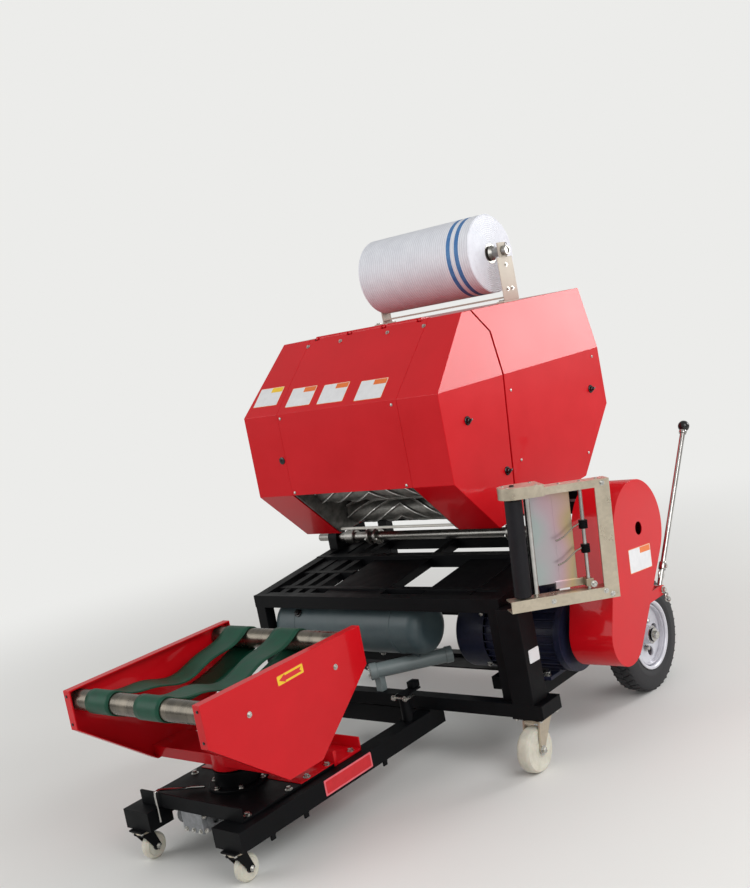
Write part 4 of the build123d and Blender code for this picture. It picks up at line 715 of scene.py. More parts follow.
def thin_plate(width, height, thickness, corner=3):
    """A flat plate with rounded corners, lying on Z = 0."""
    shape = bmesh.new()
    bmesh.ops.create_grid(shape, x_segments=1, y_segments=1, size=0.5,
                          matrix=Matrix.Diagonal((width, height, 1, 1)))
    bmesh.ops.bevel(shape, geom=shape.verts[:], offset=corner, segments=3, profile=0.5, affect="VERTICES",
                    material=-1)
    return raised(shape, thickness)


def turned(profile, steps=24):
    """Turn a profile of (height, radius) points about the Z axis."""
    shape = lathe(profile, steps)
    bmesh.ops.transform(shape, matrix=UPRIGHT, verts=shape.verts)
    return shape


def pan_screw(radius):
    """The rounded head of a small screw, on Z = 0."""
    head = ((0, 0), (0, 1), (0.3, 1), (0.55, 0.7), (0.62, 0))
    return turned([(radius * high, radius * wide) for high, wide in head], 16)


def latch(bm, on):
    """A quarter-turn latch: a collar, a boss and a wing to grip."""
    put(bm, turned([(0, 0), (0, 15), (2.5, 15), (4, 13.5), (4, 10), (10, 9), (12, 7), (12, 0)]), 0, on)
    put(bm, block((-9, 9), (-2.5, 2.5), (11, 18)), 0, on)


def blank_sign(bm, on, width, height, colours):
    """A blank plate with an edge and a header in one corner. Colours index the edge, face and header."""
    edge, face, header = colours
    put(bm, thin_plate(width, height, 0.5), edge, on)
    put(bm, thin_plate(width - 4, height - 4, 0.8), face, on)
    corner = Matrix.Translation((width * 0.24, height * 0.34, 0))
    put(bm, thin_plate(width * 0.46, height * 0.24, 1.0, 1), header, on @ corner)


print("plates, screws and latches ready")

# %% [markdown]
# ## Hood fittings
# Latches and screws follow the edges of the covers. The left side isn't in view and gets the same as the
# right. Four blank plates lie in a row on the slanted front.

# %% Hood fittings
HOOD_SIDE = 445
FRONT_FACE = -503
FOLD_Z = 1208
FRONT_RISE = Vector((0, 247, 233)).normalized()
LATCH_LEAN = 0.4
GATE_LATCHES = ((-375, 1097), (-205, 893))
REAR_LATCH = (421, 1064)
REAR_SCREWS = ((-112, 910), (-100, 1150), (470, 1180), (330, 840))
FRONT_SCREWS = ((-262, 1192), (-262, 924), (252, 1192), (252, 924))
FRONT_PLUG = (-293, 1042)
SIGN_SIZE = (122, 86)
SIGNS = ((-360, 1268), (-187, 1255), (-31, 1252), (144, 1247))
TOP_BOLTS = (-270, -110, 110, 270)
TOP_BOLT_Z = 1418


def on_side(side, y, z, lean=0.0):
    """A place on the hood's left or right side, turned by a lean."""
    return facing((side * HOOD_SIDE, y, z), (0, side, lean), (0, -lean * side, 1))


def on_front(x, z):
    """A place on the hood's upright front."""
    return facing((x, FRONT_FACE, z), (1, 0, 0))


def on_slant(x, z):
    """A place on the hood's slanted front at a height."""
    rise = (z - FOLD_Z) / FRONT_RISE.z
    return facing(Vector((x, FRONT_FACE, FOLD_Z)) + FRONT_RISE * rise, (1, 0, 0), FRONT_RISE)


bm = bmesh.new()
for side in (-1, 1):
    for y, z in GATE_LATCHES:
        latch(bm, on_side(side, y, z, LATCH_LEAN))
put(bm, turned([(0, 0), (0, 13), (2, 13), (3, 11), (3, 5), (1, 3), (1, 0)]), 0, on_front(*FRONT_PLUG))
for x, z in FRONT_SCREWS:
    put(bm, pan_screw(5), 1, on_front(x, z))
for number, (x, z) in enumerate(SIGNS):
    blank_sign(bm, on_slant(x, z), *SIGN_SIZE, (3, 2, 3 if number else 4))
for x in TOP_BOLTS:
    put(bm, hexagon_bolt(10, 5), 1, on_slant(x, TOP_BOLT_Z))
piece(bm, "gate_latches_and_signs", "gate",
      (knob_plastic, bright_zinc, plate_white, plate_orange, plate_yellow))

bm = bmesh.new()
for side in (-1, 1):
    latch(bm, on_side(side, *REAR_LATCH, LATCH_LEAN))
    for y, z in REAR_SCREWS:
        put(bm, pan_screw(5), 1, on_side(side, y, z))
piece(bm, "rear_cover_latches", "chassis", (knob_plastic, bright_zinc))

# %% [markdown]
# ## Net shaft and bracket
# The roll turns on a plain shaft with a sleeve on each side of the right post and a split pin through its end.
# The bracket's feet are bolted through the roof, and a wide cheek stiffens its right post.

# %% Net fittings
NET_Y = 181
NET_Z = 1624
NET_POSTS = (-262, 322)
CHEEK = (328, 331)
CHEEK_HALF = 48
ROOF_TOP = 1447
NET_SLEEVES = (
    ((279, 11), (279, 26), (283, 28), (292, 18), (316, 17), (316, 11)),
    ((331, 11), (331, 18), (346, 18), (348, 16), (348, 12), (340, 11)),
    ((-258, 10), (-258, 18), (-248, 26), (-244, 26), (-244, 10)),
)
SPLIT_PIN = ((339, 0, -24), (339, 0, 21), (342, 0, 26), (347, 0, 26), (349, 0, 21))
net_line = Matrix.Translation((0, NET_Y, NET_Z))
bm = bmesh.new()
for sleeve in NET_SLEEVES:
    put(bm, lathe(sleeve, 32, closed=True), 0, net_line)
put(bm, bent_bar(SPLIT_PIN, 1.6, 8), 0, net_line)
piece(bm, "net_shaft_sleeves", "net", (turned_steel,))

bm = bmesh.new()
for post_x in NET_POSTS:
    feet = [(post_x + step_x, NET_Y + step_y, ROOF_TOP) for step_y in (-40, 40) for step_x in (-16, -4)]
    bolts(bm, (9, 4), 0, feet, UP)
put(bm, block(CHEEK, (NET_Y - CHEEK_HALF, NET_Y + CHEEK_HALF), (ROOF_TOP, NET_Z - 22), 1), 1)
cheek_bolts = ((-15, ROOF_TOP + 40), (15, ROOF_TOP + 40), (0, NET_Z - 50))
bolts(bm, (10, 5), 0, [(CHEEK[1], NET_Y + step_y, z) for step_y, z in cheek_bolts], (1, 0, 0))
piece(bm, "net_bracket_bolts", "chassis", (bright_zinc, dull_zinc))

# %% [markdown]
# ## Belt guard and tension lever
# The guard carries one more blank plate. The lever's fork has a bolt through both ears, an eye above it that
# stops the lever from sliding, and two links that hang from the bolt.

# %% Guard and lever fittings
GUARD_FACE = 810
GUARD_SIGN = (-78, 549)
GUARD_SIGN_SIZE = (148, 79)
LEVER_PIVOT = Vector((785, 55, 402))
LEVER_WAY = Vector((0, 377, 488)).normalized()
EAR_OUT = 15.3
LEVER_COLLARS = (
    ((72, 8), (72, 12), (74, 13), (96, 13), (98, 12), (98, 8)),
    ((588, 8), (588, 13), (596, 14), (600, 12), (600, 8)),
)


def ring(radius, thickness, steps=28, sides=10):
    """A round ring about the Z axis."""
    shape = bmesh.new()
    bmesh.ops.create_circle(shape, segments=sides, radius=thickness,
                            matrix=Matrix.Translation((radius, 0, 0)) @ Matrix.Rotation(math.pi / 2, 4, "X"))
    bmesh.ops.spin(shape, geom=shape.verts[:] + shape.edges[:], cent=(0, 0, 0), axis=(0, 0, 1),
                   angle=2 * math.pi, steps=steps, use_merge=True)
    bmesh.ops.remove_doubles(shape, verts=shape.verts, dist=0.001)
    bmesh.ops.recalc_face_normals(shape, faces=shape.faces)
    return shape


bm = bmesh.new()
blank_sign(bm, facing((GUARD_FACE, *GUARD_SIGN), (0, 150, -16)), *GUARD_SIGN_SIZE, (1, 0, 1))
for side in (-1, 1):
    bolts(bm, (18, 9), 2, [LEVER_PIVOT + Vector((side * EAR_OUT, 0, 0))], (side, 0, 0))
hang = LEVER_PIVOT + Vector((EAR_OUT + 7, 6, -22))
put(bm, ring(9, 2.4), 2, facing(hang, (0, 1, 0.2), (0, -0.2, 1)))
put(bm, ring(8, 2.4), 2, facing(hang + Vector((0, 4, -14)), (1, 0.3, 0)))
piece(bm, "guard_sign_and_pivot_bolt", "chassis", (plate_white, plate_orange, bright_zinc))

bm = bmesh.new()
put(bm, ring(14, 4.5), 0, facing(LEVER_PIVOT + LEVER_WAY * 54, (0, 1, 0)))
bolts(bm, (13, 8), 0, [LEVER_PIVOT + LEVER_WAY * 84 + Vector((8, 0, 0))], (1, 0, 0))
for collar in LEVER_COLLARS:
    put(bm, turned(collar), 1, stand(LEVER_PIVOT, LEVER_WAY))
piece(bm, "lever_eye_and_collar", "lever", (bright_zinc, polished_steel))

# %% [markdown]
# ## Motor, shaft, tank and cylinder
# The motor breathes through a ringed grille in its fan cover. Its terminal box has a screwed lid and a gland,
# bolts hold its feet, and a blank plate sits on the post beside it. The shaft's flanges are bolted in pairs.
# The tank is rolled from sheet, so beads of weld run round it where the ends join, and the cylinder has turned
# heads with tie nuts.

# %% Motor
MOTOR_Y = -235
MOTOR_AXIS = Matrix.Translation((0, MOTOR_Y, 344))
FAN_FACE = 215
GRILLE_RINGS = (34, 50, 66, 82, 98)
GRILLE_HUB = ((-2, 0), (-2, 26), (3, 26), (5, 22), (5, 0))
BOX_X = (390, 548)
BOX_Y = (-293.5, -176.5)
BOX_MIDDLE_X = sum(BOX_X) / 2
LID = (510, 523)
GLAND = ((3, 9), (3, 15), (15, 15), (18, 12), (26, 11), (26, 9))
GLAND_Z = 484
FOOT_TOP = 232
FOOT_HALF = 100
POST_PLATE = (633.3, -512, 368)
bm = bmesh.new()
fan = MOTOR_AXIS @ facing((FAN_FACE, 0, 0), (0, -1, 0))
for radius in GRILLE_RINGS:
    put(bm, ring(radius, 2.4, 48, 8), 0, fan)
for turn in turns(8, axis="Z"):
    put(bm, rod((20, 0, 0), (102, 0, 0), 2.6, 8), 0, fan @ turn)
put(bm, turned(GRILLE_HUB), 0, fan)
put(bm, block((BOX_X[0] - 3, BOX_X[1] + 3), (BOX_Y[0] - 3, BOX_Y[1] + 3), LID, 2.5), 0)
for x in BOX_X:
    for y in BOX_Y:
        corner = Vector((x + (BOX_MIDDLE_X - x) * 0.12, y + (MOTOR_Y - y) * 0.15, LID[1]))
        put(bm, pan_screw(5), 1, stand(corner, UP))
    bolts(bm, (20, 10), 1, [(x, MOTOR_Y + side * FOOT_HALF, FOOT_TOP) for side in (-1, 1)], UP)
put(bm, lathe(GLAND, 6, closed=True), 0, Matrix.Translation((BOX_X[1], MOTOR_Y, GLAND_Z)))
for turn in turns(4, math.pi / 4):
    bolts(bm, (14, 8), 1, [(318, 0, 124)], UP, MOTOR_AXIS @ turn)
put(bm, thin_plate(56, 42, 1.5, 4), 2, facing(POST_PLATE, (0, 1, -0.04)))
piece(bm, "motor_grille_and_lid", "chassis", (navy_paint, bright_zinc, plate_white))

# %% Shaft couplings
SHAFT_LINE = Matrix.Translation((0, -56, 645))
COUPLINGS = (-330, 330)
SLEEVES = (-470, 440)
SLEEVE = ((0, 17), (0, 25), (3, 28), (42, 28), (45, 25), (45, 17))
bm = bmesh.new()
for coupling_x in COUPLINGS:
    for turn in turns(4, 0.3):
        for side in (-1, 1):
            bolts(bm, (11, 7), 1, [(coupling_x + side * 24, 0, 24)], (side, 0, 0), SHAFT_LINE @ turn)
for sleeve_x in SLEEVES:
    sleeve_line = SHAFT_LINE @ Matrix.Translation((sleeve_x, 0, 0))
    put(bm, lathe(SLEEVE, 28, closed=True), 0, sleeve_line)
    bolts(bm, (10, 6), 1, [(12, 0, 27.5), (33, 0, 27.5)], UP, sleeve_line)
piece(bm, "shaft_sleeves_and_bolts", "drive_shaft", (turned_steel, bright_zinc))

# %% Tank and cylinder
TANK_LINE = Matrix.Translation((0, -430, 418))
TANK_RADIUS = 95
TANK_SEAMS = (-383, 68)
PORT_TURN = math.radians(52)
CYLINDER_FROM = Vector((-20, -560, 292))
CYLINDER_TO = Vector((178, -345, 292))
HEAD_LENGTH = 26
bm = bmesh.new()
for seam_x in TANK_SEAMS:
    put(bm, ring(TANK_RADIUS, 2.2, 64, 6), 0, TANK_LINE @ facing((seam_x, 0, 0), (0, 1, 0)))
port = TANK_LINE @ Matrix.Rotation(PORT_TURN, 4, "X") @ stand((-366, 0, TANK_RADIUS - 1), UP)
put(bm, turned([(0, 0), (0, 15), (5, 14), (6, 10), (14, 10), (14, 0)]), 2, port)
drain = TANK_LINE @ stand((-60, 0, 1 - TANK_RADIUS), DOWN)
put(bm, turned([(0, 0), (0, 16), (6, 15), (6, 0)]), 0, drain)
put(bm, hexagon_bolt(17, 9), 1, drain @ Matrix.Translation((0, 0, 6)))
piece(bm, "tank_seams_and_ports", "chassis", (grey_paint, bright_zinc, knob_plastic))

bm = bmesh.new()
tube_run = CYLINDER_TO - CYLINDER_FROM
tube = stand(CYLINDER_FROM, tube_run)
for low in (0, tube_run.length - HEAD_LENGTH):
    high = low + HEAD_LENGTH
    head = [(low, 20), (low, 27), (low + 2, 29), (high - 2, 29), (high, 27), (high, 20)]
    put(bm, turned(head, 32), 0, tube)
for turn in turns(4, math.pi / 4, "Z"):
    bolts(bm, (8, 5), 1, [(19, 0, 0)], DOWN, tube @ turn)
piece(bm, "cylinder_heads", "chassis", (tube_paint, bright_zinc))

# %% [markdown]
# ## Film stretcher
# Stretch film runs from the roll over these two rollers, and two sprung wires press on it. The wires sit in
# black grooved clamps on an upright rod and bend down to the sheet. Everything here is drawn in the
# stretcher's own leaning plane: u along it, v up and w towards the operator.

# %% Clamps and wires
FILM_CENTRE = Vector((737.5, -430, 696))
FILM_YAW = math.radians(50.8)
FILM_LEAN = math.radians(4.2)
ROD_U = 86
CLAMP_PLACES = (-24, 51)
GROOVE_PITCH = 5.5
WIRE_RUN = 92
WIRE_DROP = 40
film_reach = math.cos(FILM_LEAN)
film_u = Vector((math.cos(FILM_YAW) * film_reach, math.sin(FILM_YAW) * film_reach, -math.sin(FILM_LEAN)))
film_w = Vector((math.sin(FILM_YAW), -math.cos(FILM_YAW), 0))
film_plane = facing(FILM_CENTRE, film_u, film_w.cross(film_u))


def on_rod(v):
    """A matrix at a height of the stretcher's rod, with Z up along it."""
    return film_plane @ Matrix.Translation((ROD_U, v, 0)) @ Matrix.Rotation(-math.pi / 2, 4, "X")


bm = bmesh.new()
put(bm, rod((ROD_U, -149, 0), (ROD_U, 161, 0), 6, 20), 1, film_plane)
grooved = [(-13, 6)]
for groove in range(5):
    foot = groove * GROOVE_PITCH - 13
    grooved += [(foot, 14), (foot + 3.5, 14), (foot + 3.5, 12)]
grooved[-1] = (13, 6)
for v in CLAMP_PLACES:
    put(bm, turned(grooved, 28), 0, on_rod(v))
    end_u = ROD_U - WIRE_RUN
    end_v = v - WIRE_DROP
    wire = ((ROD_U - 8, v + 4, 0), (ROD_U - 30, v - 4, 0), (end_u + 26, end_v + 9, 0),
            (end_u + 8, end_v + 2, 0), (end_u, end_v + 1, 0))
    put(bm, bent_bar(wire, 2.6), 2, film_plane)
piece(bm, "film_clamps_and_wires", "chassis", (black_paint, polished_steel, drawn_tube),
      ["film_wires"])

# %% Film frame screws
GEAR_TOP = 197
GEAR_CAP_U = -127
GEAR_SCREWS = ((-60, 30), (-60, -30), (-150, 22), (-150, -22))
TOP_BAR = 185
TOP_BAR_SCREWS = (20, 86, 140)
FRAME_BOLTS = ((150, -172, 25), (130, -160, 25), (150, 172, 25), (-40, -167, 25))
bm = bmesh.new()
put(bm, pan_screw(8), 2, film_plane @ stand((GEAR_CAP_U, GEAR_TOP, 0), (0, 1, 0)))
for u, v, w in [(u, GEAR_TOP, w) for u, w in GEAR_SCREWS] + [(u, TOP_BAR, 0) for u in TOP_BAR_SCREWS]:
    put(bm, pan_screw(5), 1, film_plane @ stand((u, v, w), (0, 1, 0)))
for spot in FRAME_BOLTS:
    put(bm, hexagon_bolt(11, 5), 1, film_plane @ Matrix.Translation(spot))
put(bm, hexagon_bolt(14, 8), 1, film_plane @ Matrix.Translation((98, -136, 12)))
put(bm, turned([(-166, 6), (-166, 11), (-160, 12), (-149, 12), (-149, 6)]), 1, on_rod(0))
put(bm, thin_plate(4, 258, 0.6, 1), 0, film_plane @ Matrix.Translation((2, 18, -20)))
piece(bm, "film_frame_screws", "chassis", (chromate, bright_zinc, knob_plastic))

# %% [markdown]
# ## Turning table
# Two slack belts carry the bale while it is wrapped. Each belt is one edge led round by four spins: down the
# dipping upper run, round the rear roller, along the hanging lower run and round the front roller. A ripple
# lifts the upper run where the slack gathers, and both belts have crept to the right on the front roller.
# The flat size of a belt is its width and the length of the loop before the ripple.

# %% Slack belts
BELT_WIDTH = 110
BELT_THICKNESS = 4
BELT_STRIPS = 6
BELTS = (("left", -235, 20), ("right", -5, 24))
BELT_LIFT = 26
BELT_CURL = 10
BELT_WANDER = 26
RIPPLE_SKEW = 0.6
ROLLER_Z = 530
ROLLER_HALF = 287
TABLE_Y = -1194
BELT_LINE = 34.5
UPPER_SAG = 80
LOWER_SAG = 60
UPPER_RUN_FLOOR = ROLLER_Z - 60


def arc_of(sag):
    """How far an arc's centre lies above the rollers, and half its angle."""
    rise = (ROLLER_HALF ** 2 - sag ** 2) / (2 * sag)
    return rise, math.atan2(ROLLER_HALF, rise)


upper_rise, upper_lean = arc_of(UPPER_SAG)
lower_rise, lower_lean = arc_of(LOWER_SAG)
wrap_angle = math.pi + upper_lean - lower_lean
BELT_TURNS = (
    (TABLE_Y, ROLLER_Z + upper_rise, 2 * upper_lean, 40),
    (TABLE_Y + ROLLER_HALF, ROLLER_Z, -wrap_angle, 24),
    (TABLE_Y, ROLLER_Z + lower_rise, -2 * lower_lean, 36),
    (TABLE_Y - ROLLER_HALF, ROLLER_Z, -wrap_angle, 24),
)
start_y = TABLE_Y - ROLLER_HALF + BELT_LINE * math.sin(upper_lean)
start_z = ROLLER_Z + BELT_LINE * math.cos(upper_lean)
for side, belt_x, ripple in BELTS:
    bm = bmesh.new()
    across_belt = [belt_x + BELT_WIDTH * (step / BELT_STRIPS - 0.5) for step in range(BELT_STRIPS + 1)]
    line = [bm.verts.new((x, start_y, start_z)) for x in across_belt]
    geom = line + [bm.edges.new(pair) for pair in zip(line, line[1:])]
    for turn_y, turn_z, turn_angle, steps in BELT_TURNS:
        geom = bmesh.ops.spin(bm, geom=geom, cent=(belt_x, turn_y, turn_z), axis=(1, 0, 0), angle=turn_angle,
                              steps=steps)["geom_last"]
    bmesh.ops.remove_doubles(bm, verts=bm.verts, dist=0.5)
    bmesh.ops.recalc_face_normals(bm, faces=bm.faces)
    for vert in bm.verts:
        share = (vert.co.y - start_y) / (2 * (TABLE_Y - start_y))
        if 0 < share < 1 and vert.co.z > UPPER_RUN_FLOOR:
            across = (vert.co.x - belt_x) / BELT_WIDTH
            still = math.sin(math.pi * share) ** 2
            wave = ripple * math.sin(3 * math.pi * share + RIPPLE_SKEW * across)
            vert.co.z += still * (BELT_LIFT + wave + BELT_CURL * across ** 2)
        vert.co.x += BELT_WANDER * (1 - min(max(share, 0), 1)) ** 2
    belt = piece(bm, f"slack_belt_{side}", "table", (belt_pvc,), ["table_belts"])
    wall = belt.modifiers.new("thickness", "SOLIDIFY")
    wall.thickness = BELT_THICKNESS / 1000
    wall.offset = 0

# %% [markdown]
# The table's side plates carry screws, and one has a yellow plate with an arrow that shows which way the bale
# turns. An arrow is a bar and a triangle: three corners of the head and five of the notched bar make one face,
# which is then raised.

# %% Table plates
PLATE_SIDES = ((265, 1), (-355, -1))
PLATE_END = -1522
PLATE_SCREWS = ((-1361, 483), (-1001, 488))
END_SCREWS = (553, 466)
ARROW_SIGN = (265, -1184, 532)
ARROW = ((-47, 0), (-22, -12), (-22, -7), (46, -7), (38, 0), (46, 7), (-22, 7), (-22, 12))
bm = bmesh.new()
for x, out in PLATE_SIDES:
    for y, z in PLATE_SCREWS:
        put(bm, hexagon_bolt(12, 5), 0, facing((x, y, z), (0, out, 0)))
    for z in END_SCREWS:
        put(bm, pan_screw(4.5), 1, stand((x - 13 * out, PLATE_END, z), (0, -1, 0)))
sign = facing(ARROW_SIGN, (0, 1, 0.03))
put(bm, thin_plate(110, 31, 0.5), 3, sign)
put(bm, thin_plate(106, 27, 0.8), 2, sign)
arrow = bmesh.new()
arrow.faces.new([arrow.verts.new((x, y, 0)) for x, y in ARROW])
put(bm, raised(arrow, 1.1), 3, sign)
piece(bm, "table_screws_and_arrow", "table", (bright_zinc, knob_plastic, plate_yellow, plate_red))

# %% [markdown]
# ## Wrapping frame
# The turntable's bed is black in front, and a red sheet lies on its rear half and on the rails behind it.
# The bent pull rod of the table's catch lies on the bed. A blank red plate is on the right rail, small hooks
# hang under it, and the film holder has a clamp plate with two bolts.

# %% Turntable bed
BED_X = (-270, 180)
BED_TOP = 176
BED_BACK = -994
FLANGE_TOP = 212
SHEET_X = (-274, 184)
SHEET_FRONT = -1150
SHEET_BACK = -880
SHEET_THICK = 3
SHEET_TOP = BED_TOP + SHEET_THICK
RAIL_TOP = 168
SHEET_RUNS = (
    (BED_X, (SHEET_FRONT, BED_BACK - 8), (BED_TOP, SHEET_TOP)),
    (SHEET_X, (BED_BACK - 11, BED_BACK + 3), (RAIL_TOP, FLANGE_TOP + SHEET_THICK)),
    (SHEET_X, (BED_BACK, SHEET_BACK), (RAIL_TOP, BED_TOP)),
    (SHEET_X, (SHEET_BACK - 5, SHEET_BACK), (RAIL_TOP, FLANGE_TOP)),
)
BED_BOLTS = ((-1360, BED_TOP), (-1190, BED_TOP), (-1110, SHEET_TOP), (-1020, SHEET_TOP), (-910, BED_TOP))
PIVOT = Matrix.Translation((-45, TABLE_Y, BED_TOP))
PULL_ROD = ((-118, -1268, 184), (-160, -1285, 184), (-172, -1300, 186), (-180, -1370, 214), (-183, -1388, 220),
            (-184, -1402, 218), (-184, -1404, 206), (-184, -1404, 126))
bm = bmesh.new()
for run in SHEET_RUNS:
    put(bm, block(*run, 1), 4)
for bolt_x in (BED_X[0] + 14, BED_X[1] - 14):
    bolts(bm, (16, 8), 1, [(bolt_x, y, z) for y, z in BED_BOLTS], UP)
put(bm, turned([(0, 70), (0, 92), (8, 92), (10, 90), (10, 70)], 48), 0, PIVOT)
for turn in turns(6, 0.4, "Z"):
    bolts(bm, (12, 7), 1, [(81, 0, 10)], UP, PIVOT @ turn)
put(bm, bent_bar(PULL_ROD, 4), 5)
print("turntable bed: sheet", SHEET_X[1] - SHEET_X[0], "x", SHEET_BACK - SHEET_FRONT, "mm")

# %% Rail fittings
RAIL_RIGHT = 214.5
RAIL_LOW = 108
RAIL_SIGN = (RAIL_RIGHT, -985, 140)
HOOK_PLACES = (-1320, -1180, -812)
CLAMP_PLATE = ((150, 219), (-662, -626), (249, 255))
CLAMP_BOLTS = ((160, -662, 252), (208, -662, 252))
CLAMP_BLOCK = ((170, 199), (-600, -566), (261, 284))
put(bm, thin_plate(218, 48, 1.2), 3, facing(RAIL_SIGN, (0, 1, 0)))
put(bm, thin_plate(206, 37, 1.8), 2, facing(RAIL_SIGN, (0, 1, 0)))
for y in HOOK_PLACES:
    hook_y = (y - 9, y + 9)
    put(bm, block((RAIL_RIGHT - 26, RAIL_RIGHT - 2), hook_y, (RAIL_LOW - 5, RAIL_LOW), 1), 0)
    put(bm, block((RAIL_RIGHT - 10, RAIL_RIGHT - 4), hook_y, (RAIL_LOW - 18, RAIL_LOW - 4), 1.5), 0)
put(bm, block(*CLAMP_PLATE, 1.5), 1)
bolts(bm, (13, 8), 1, CLAMP_BOLTS, (0, -1, 0))
put(bm, block(*CLAMP_BLOCK, 3), 0)
piece(bm, "turntable_sheet_and_rail_fittings", "chassis",
      (black_paint, bright_zinc, plate_red, plate_rose, red_paint, polished_steel))

# %% Gear motor ribs
GEAR_Y = -1349
GEAR_Z = 138
GEAR_LINE = Matrix.Translation((0, GEAR_Y, GEAR_Z))
FINS = range(-133, -91, 6)
FIN = ((0, 20), (0, 29), (3, 29), (3, 20))
GEAR_CAP = ((-1, 12), (-1, 30), (5, 28), (9, 20), (9, 12))
bm = bmesh.new()
for fin_x in FINS:
    put(bm, lathe(FIN, 28, closed=True), 0, GEAR_LINE @ Matrix.Translation((fin_x, 0, 0)))
put(bm, lathe(GEAR_CAP, 28, closed=True), 0, GEAR_LINE)
for x, out in ((0, 1), (-90, -1)):
    bolts(bm, (10, 6), 1, [(x, y, z) for y in (-36, 36) for z in (-22, 22)], (out, 0, 0), GEAR_LINE)
bolts(bm, (10, 6), 1, [(x, -45, -22) for x in (-76, -45, -14)], (0, -1, 0), GEAR_LINE)
piece(bm, "gear_motor_ribs", "chassis", (gear_paint, bright_zinc))

# %% [markdown]
# ## Road wheels
# The tyres have a smooth round carcass and two rows of slanted blocks that meet in a chevron. The carcass is
# one turned profile, with a bead, a bulging side and raised rings. A block is copied round each row by a turn.
# The pressed rim gets a rolled lip, five nuts, a valve, and a bright ring round the hub.

# %% Tyre
TYRE_X = 617
TYRE_RADIUS = 196
TREAD_BASE = 190
TREAD_PITCHES = 42
TREAD_SLANT = math.radians(28)
TREAD_OUT = 18
TREAD_BLOCK = ((-16, 16), (-11, 11), (0, 7.6))
CARCASS = ((-36, 118), (-39, 124), (-43, 138), (-44.5, 144), (-44.5, 147), (-44, 150), (-44, 158),
           (-42.5, 170), (-41, 178), (-39, 185), (-35, 191.5), (-16, 192), (0, 192.4))


def block_tread_tyre():
    """A tyre about the X axis."""
    bm = bmesh.new()
    put(bm, lathe(list(CARCASS) + flipped(CARCASS[-2::-1], -1), 72, closed=True))
    for row in (-1, 1):
        slant = Matrix.Rotation(TREAD_SLANT * row, 4, "Z")
        for turn in turns(TREAD_PITCHES, row * math.pi / 2 / TREAD_PITCHES):
            seat = turn @ Matrix.Translation((row * TREAD_OUT, 0, TREAD_BASE - 2))
            put(bm, block(*TREAD_BLOCK, 1.8), 0, seat @ slant)
    return bm


print("tread:", 2 * TREAD_PITCHES, "blocks on a tyre")

# %% Wheels and axle nuts
RIM_LIP = ((34, 110), (38, 110), (42, 113), (43.5, 117), (42.5, 121), (40, 122), (38.5, 119), (34, 116))
RIM_STEP = ((20, 109), (30, 108), (34, 104), (34, 101), (29, 100), (20, 101))
HUB_RING = ((30, 31), (44, 31), (46, 30), (46, 26), (44, 25), (30, 25))
AXLE_END = 669
for name, side in (("left", -1), ("right", 1)):
    wheel = Matrix.Translation((side * TYRE_X, AXLE_FROM_LINE, TYRE_RADIUS))
    bm = block_tread_tyre()
    bmesh.ops.transform(bm, matrix=wheel, verts=bm.verts)
    piece(bm, f"block_tread_tyre_{name}", f"wheel_{name}", (tyre_rubber,), [f"tyre_{name}"])
    bm = bmesh.new()
    for edge in (-1, 1):
        put(bm, lathe(flipped(RIM_LIP, edge), 72, closed=True), 0, wheel)
        put(bm, lathe(flipped(RIM_STEP, edge), 72, closed=True), 0, wheel)
    put(bm, lathe(flipped(HUB_RING, side), 40, closed=True), 1, wheel)
    for turn in turns(5, math.pi / 5):
        bolts(bm, (17, 10), 1, [(side * 12, 0, 50)], (side, 0, 0), wheel @ turn)
    put(bm, bent_bar(((side * 14, 0, 104), (side * 30, 0, 99), (side * 44, 0, 92)), 4), 2, wheel)
    piece(bm, f"rim_lips_and_nuts_{name}", f"wheel_{name}", (rim_paint, polished_steel, black_rubber))

bm = bmesh.new()
for side in (-1, 1):
    bolts(bm, (30, 12), 0, [(side * AXLE_END, AXLE_FROM_LINE, TYRE_RADIUS)], (side, 0, 0))
piece(bm, "axle_nuts", "chassis", (bright_zinc,))

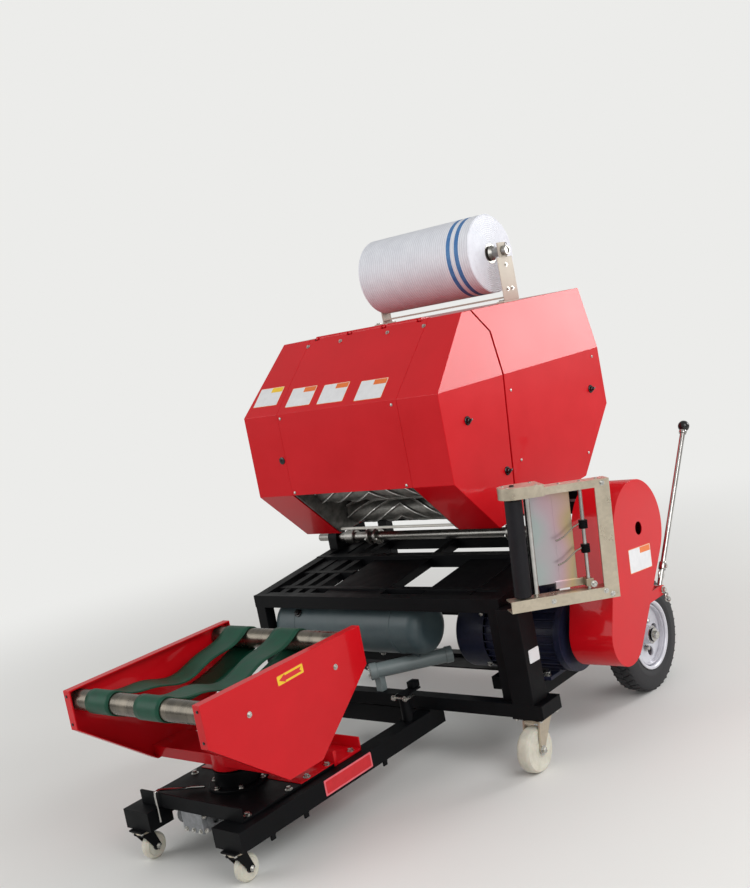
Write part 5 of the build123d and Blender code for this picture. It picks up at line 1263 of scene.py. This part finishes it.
# %% [markdown]
# ## Casters
# Each caster swivels on a ring of balls under a bolted plate. Its wheel has a hub with a recess and runs on a
# bolt through the fork, so there is a ring on the wheel, a nut on each side of the fork and a ball ring above
# it. The small front wheels have black hubs.

# %% Casters
# Each caster: name, swivel's x and y, plate's top, wheel's radius and width, and trail behind the swivel
CASTERS = (
    ("middle_left", -597, -505, 176, 72, 45, -42), ("middle_right", 597, -505, 176, 72, 45, -42),
    ("front_left", -252, -1425, 108, 40, 30, 26), ("front_right", 162, -1425, 108, 40, 30, 26),
)
PLATE_THICK = 6
BOLT_INSET = 9
LEG_OUT = 9
for name, x, y, top, radius, width, trail in CASTERS:
    axle = Matrix.Translation((x, y + trail, radius))
    neck = radius / 2
    half = width / 2
    nut = (radius * 0.28, radius * 0.12)
    ball_ring = [(-9, neck - 2), (-9, neck + 3), (-5, neck + 5), (-1, neck + 3), (-1, neck - 2)]
    hub = [(half - 3, 8), (half + 2, 8), (half + 2, radius * 0.3), (half, radius * 0.34),
           (half - 3, radius * 0.34)]
    rim = [(half - 3, radius * 0.72), (half, radius * 0.72), (half + 1.5, radius * 0.78),
           (half, radius * 0.86), (half - 3, radius * 0.86)]
    nuts = bmesh.new()
    rings = bmesh.new()
    for side in (-1, 1):
        bolts(nuts, nut, 0, [(side * (half + LEG_OUT), 0, 0)], (side, 0, 0), axle)
        put(rings, lathe(flipped(hub, side), 48, closed=True), int("front" in name), axle)
        put(rings, lathe(flipped(rim, side), 48, closed=True), 0, axle)
    put(nuts, turned(ball_ring, 36), 1, Matrix.Translation((x, y, top - PLATE_THICK - 0.5)))
    piece(nuts, f"caster_nuts_{name}", f"caster_fork_{name}", (bright_zinc, zinc))
    piece(rings, f"caster_hub_{name}", f"caster_wheel_{name}", (nylon, knob_plastic))

bm = bmesh.new()
for _, x, y, top, radius, _, _ in CASTERS:
    reach = radius * 0.75 - BOLT_INSET
    corners = [(x + step_x * reach, y + step_y * reach) for step_x in (-1, 1) for step_y in (-1, 1)]
    bolts(bm, (11, 6), 0, [(*corner, top - PLATE_THICK) for corner in corners], DOWN)
piece(bm, "caster_plate_bolts", "chassis", (bright_zinc,))
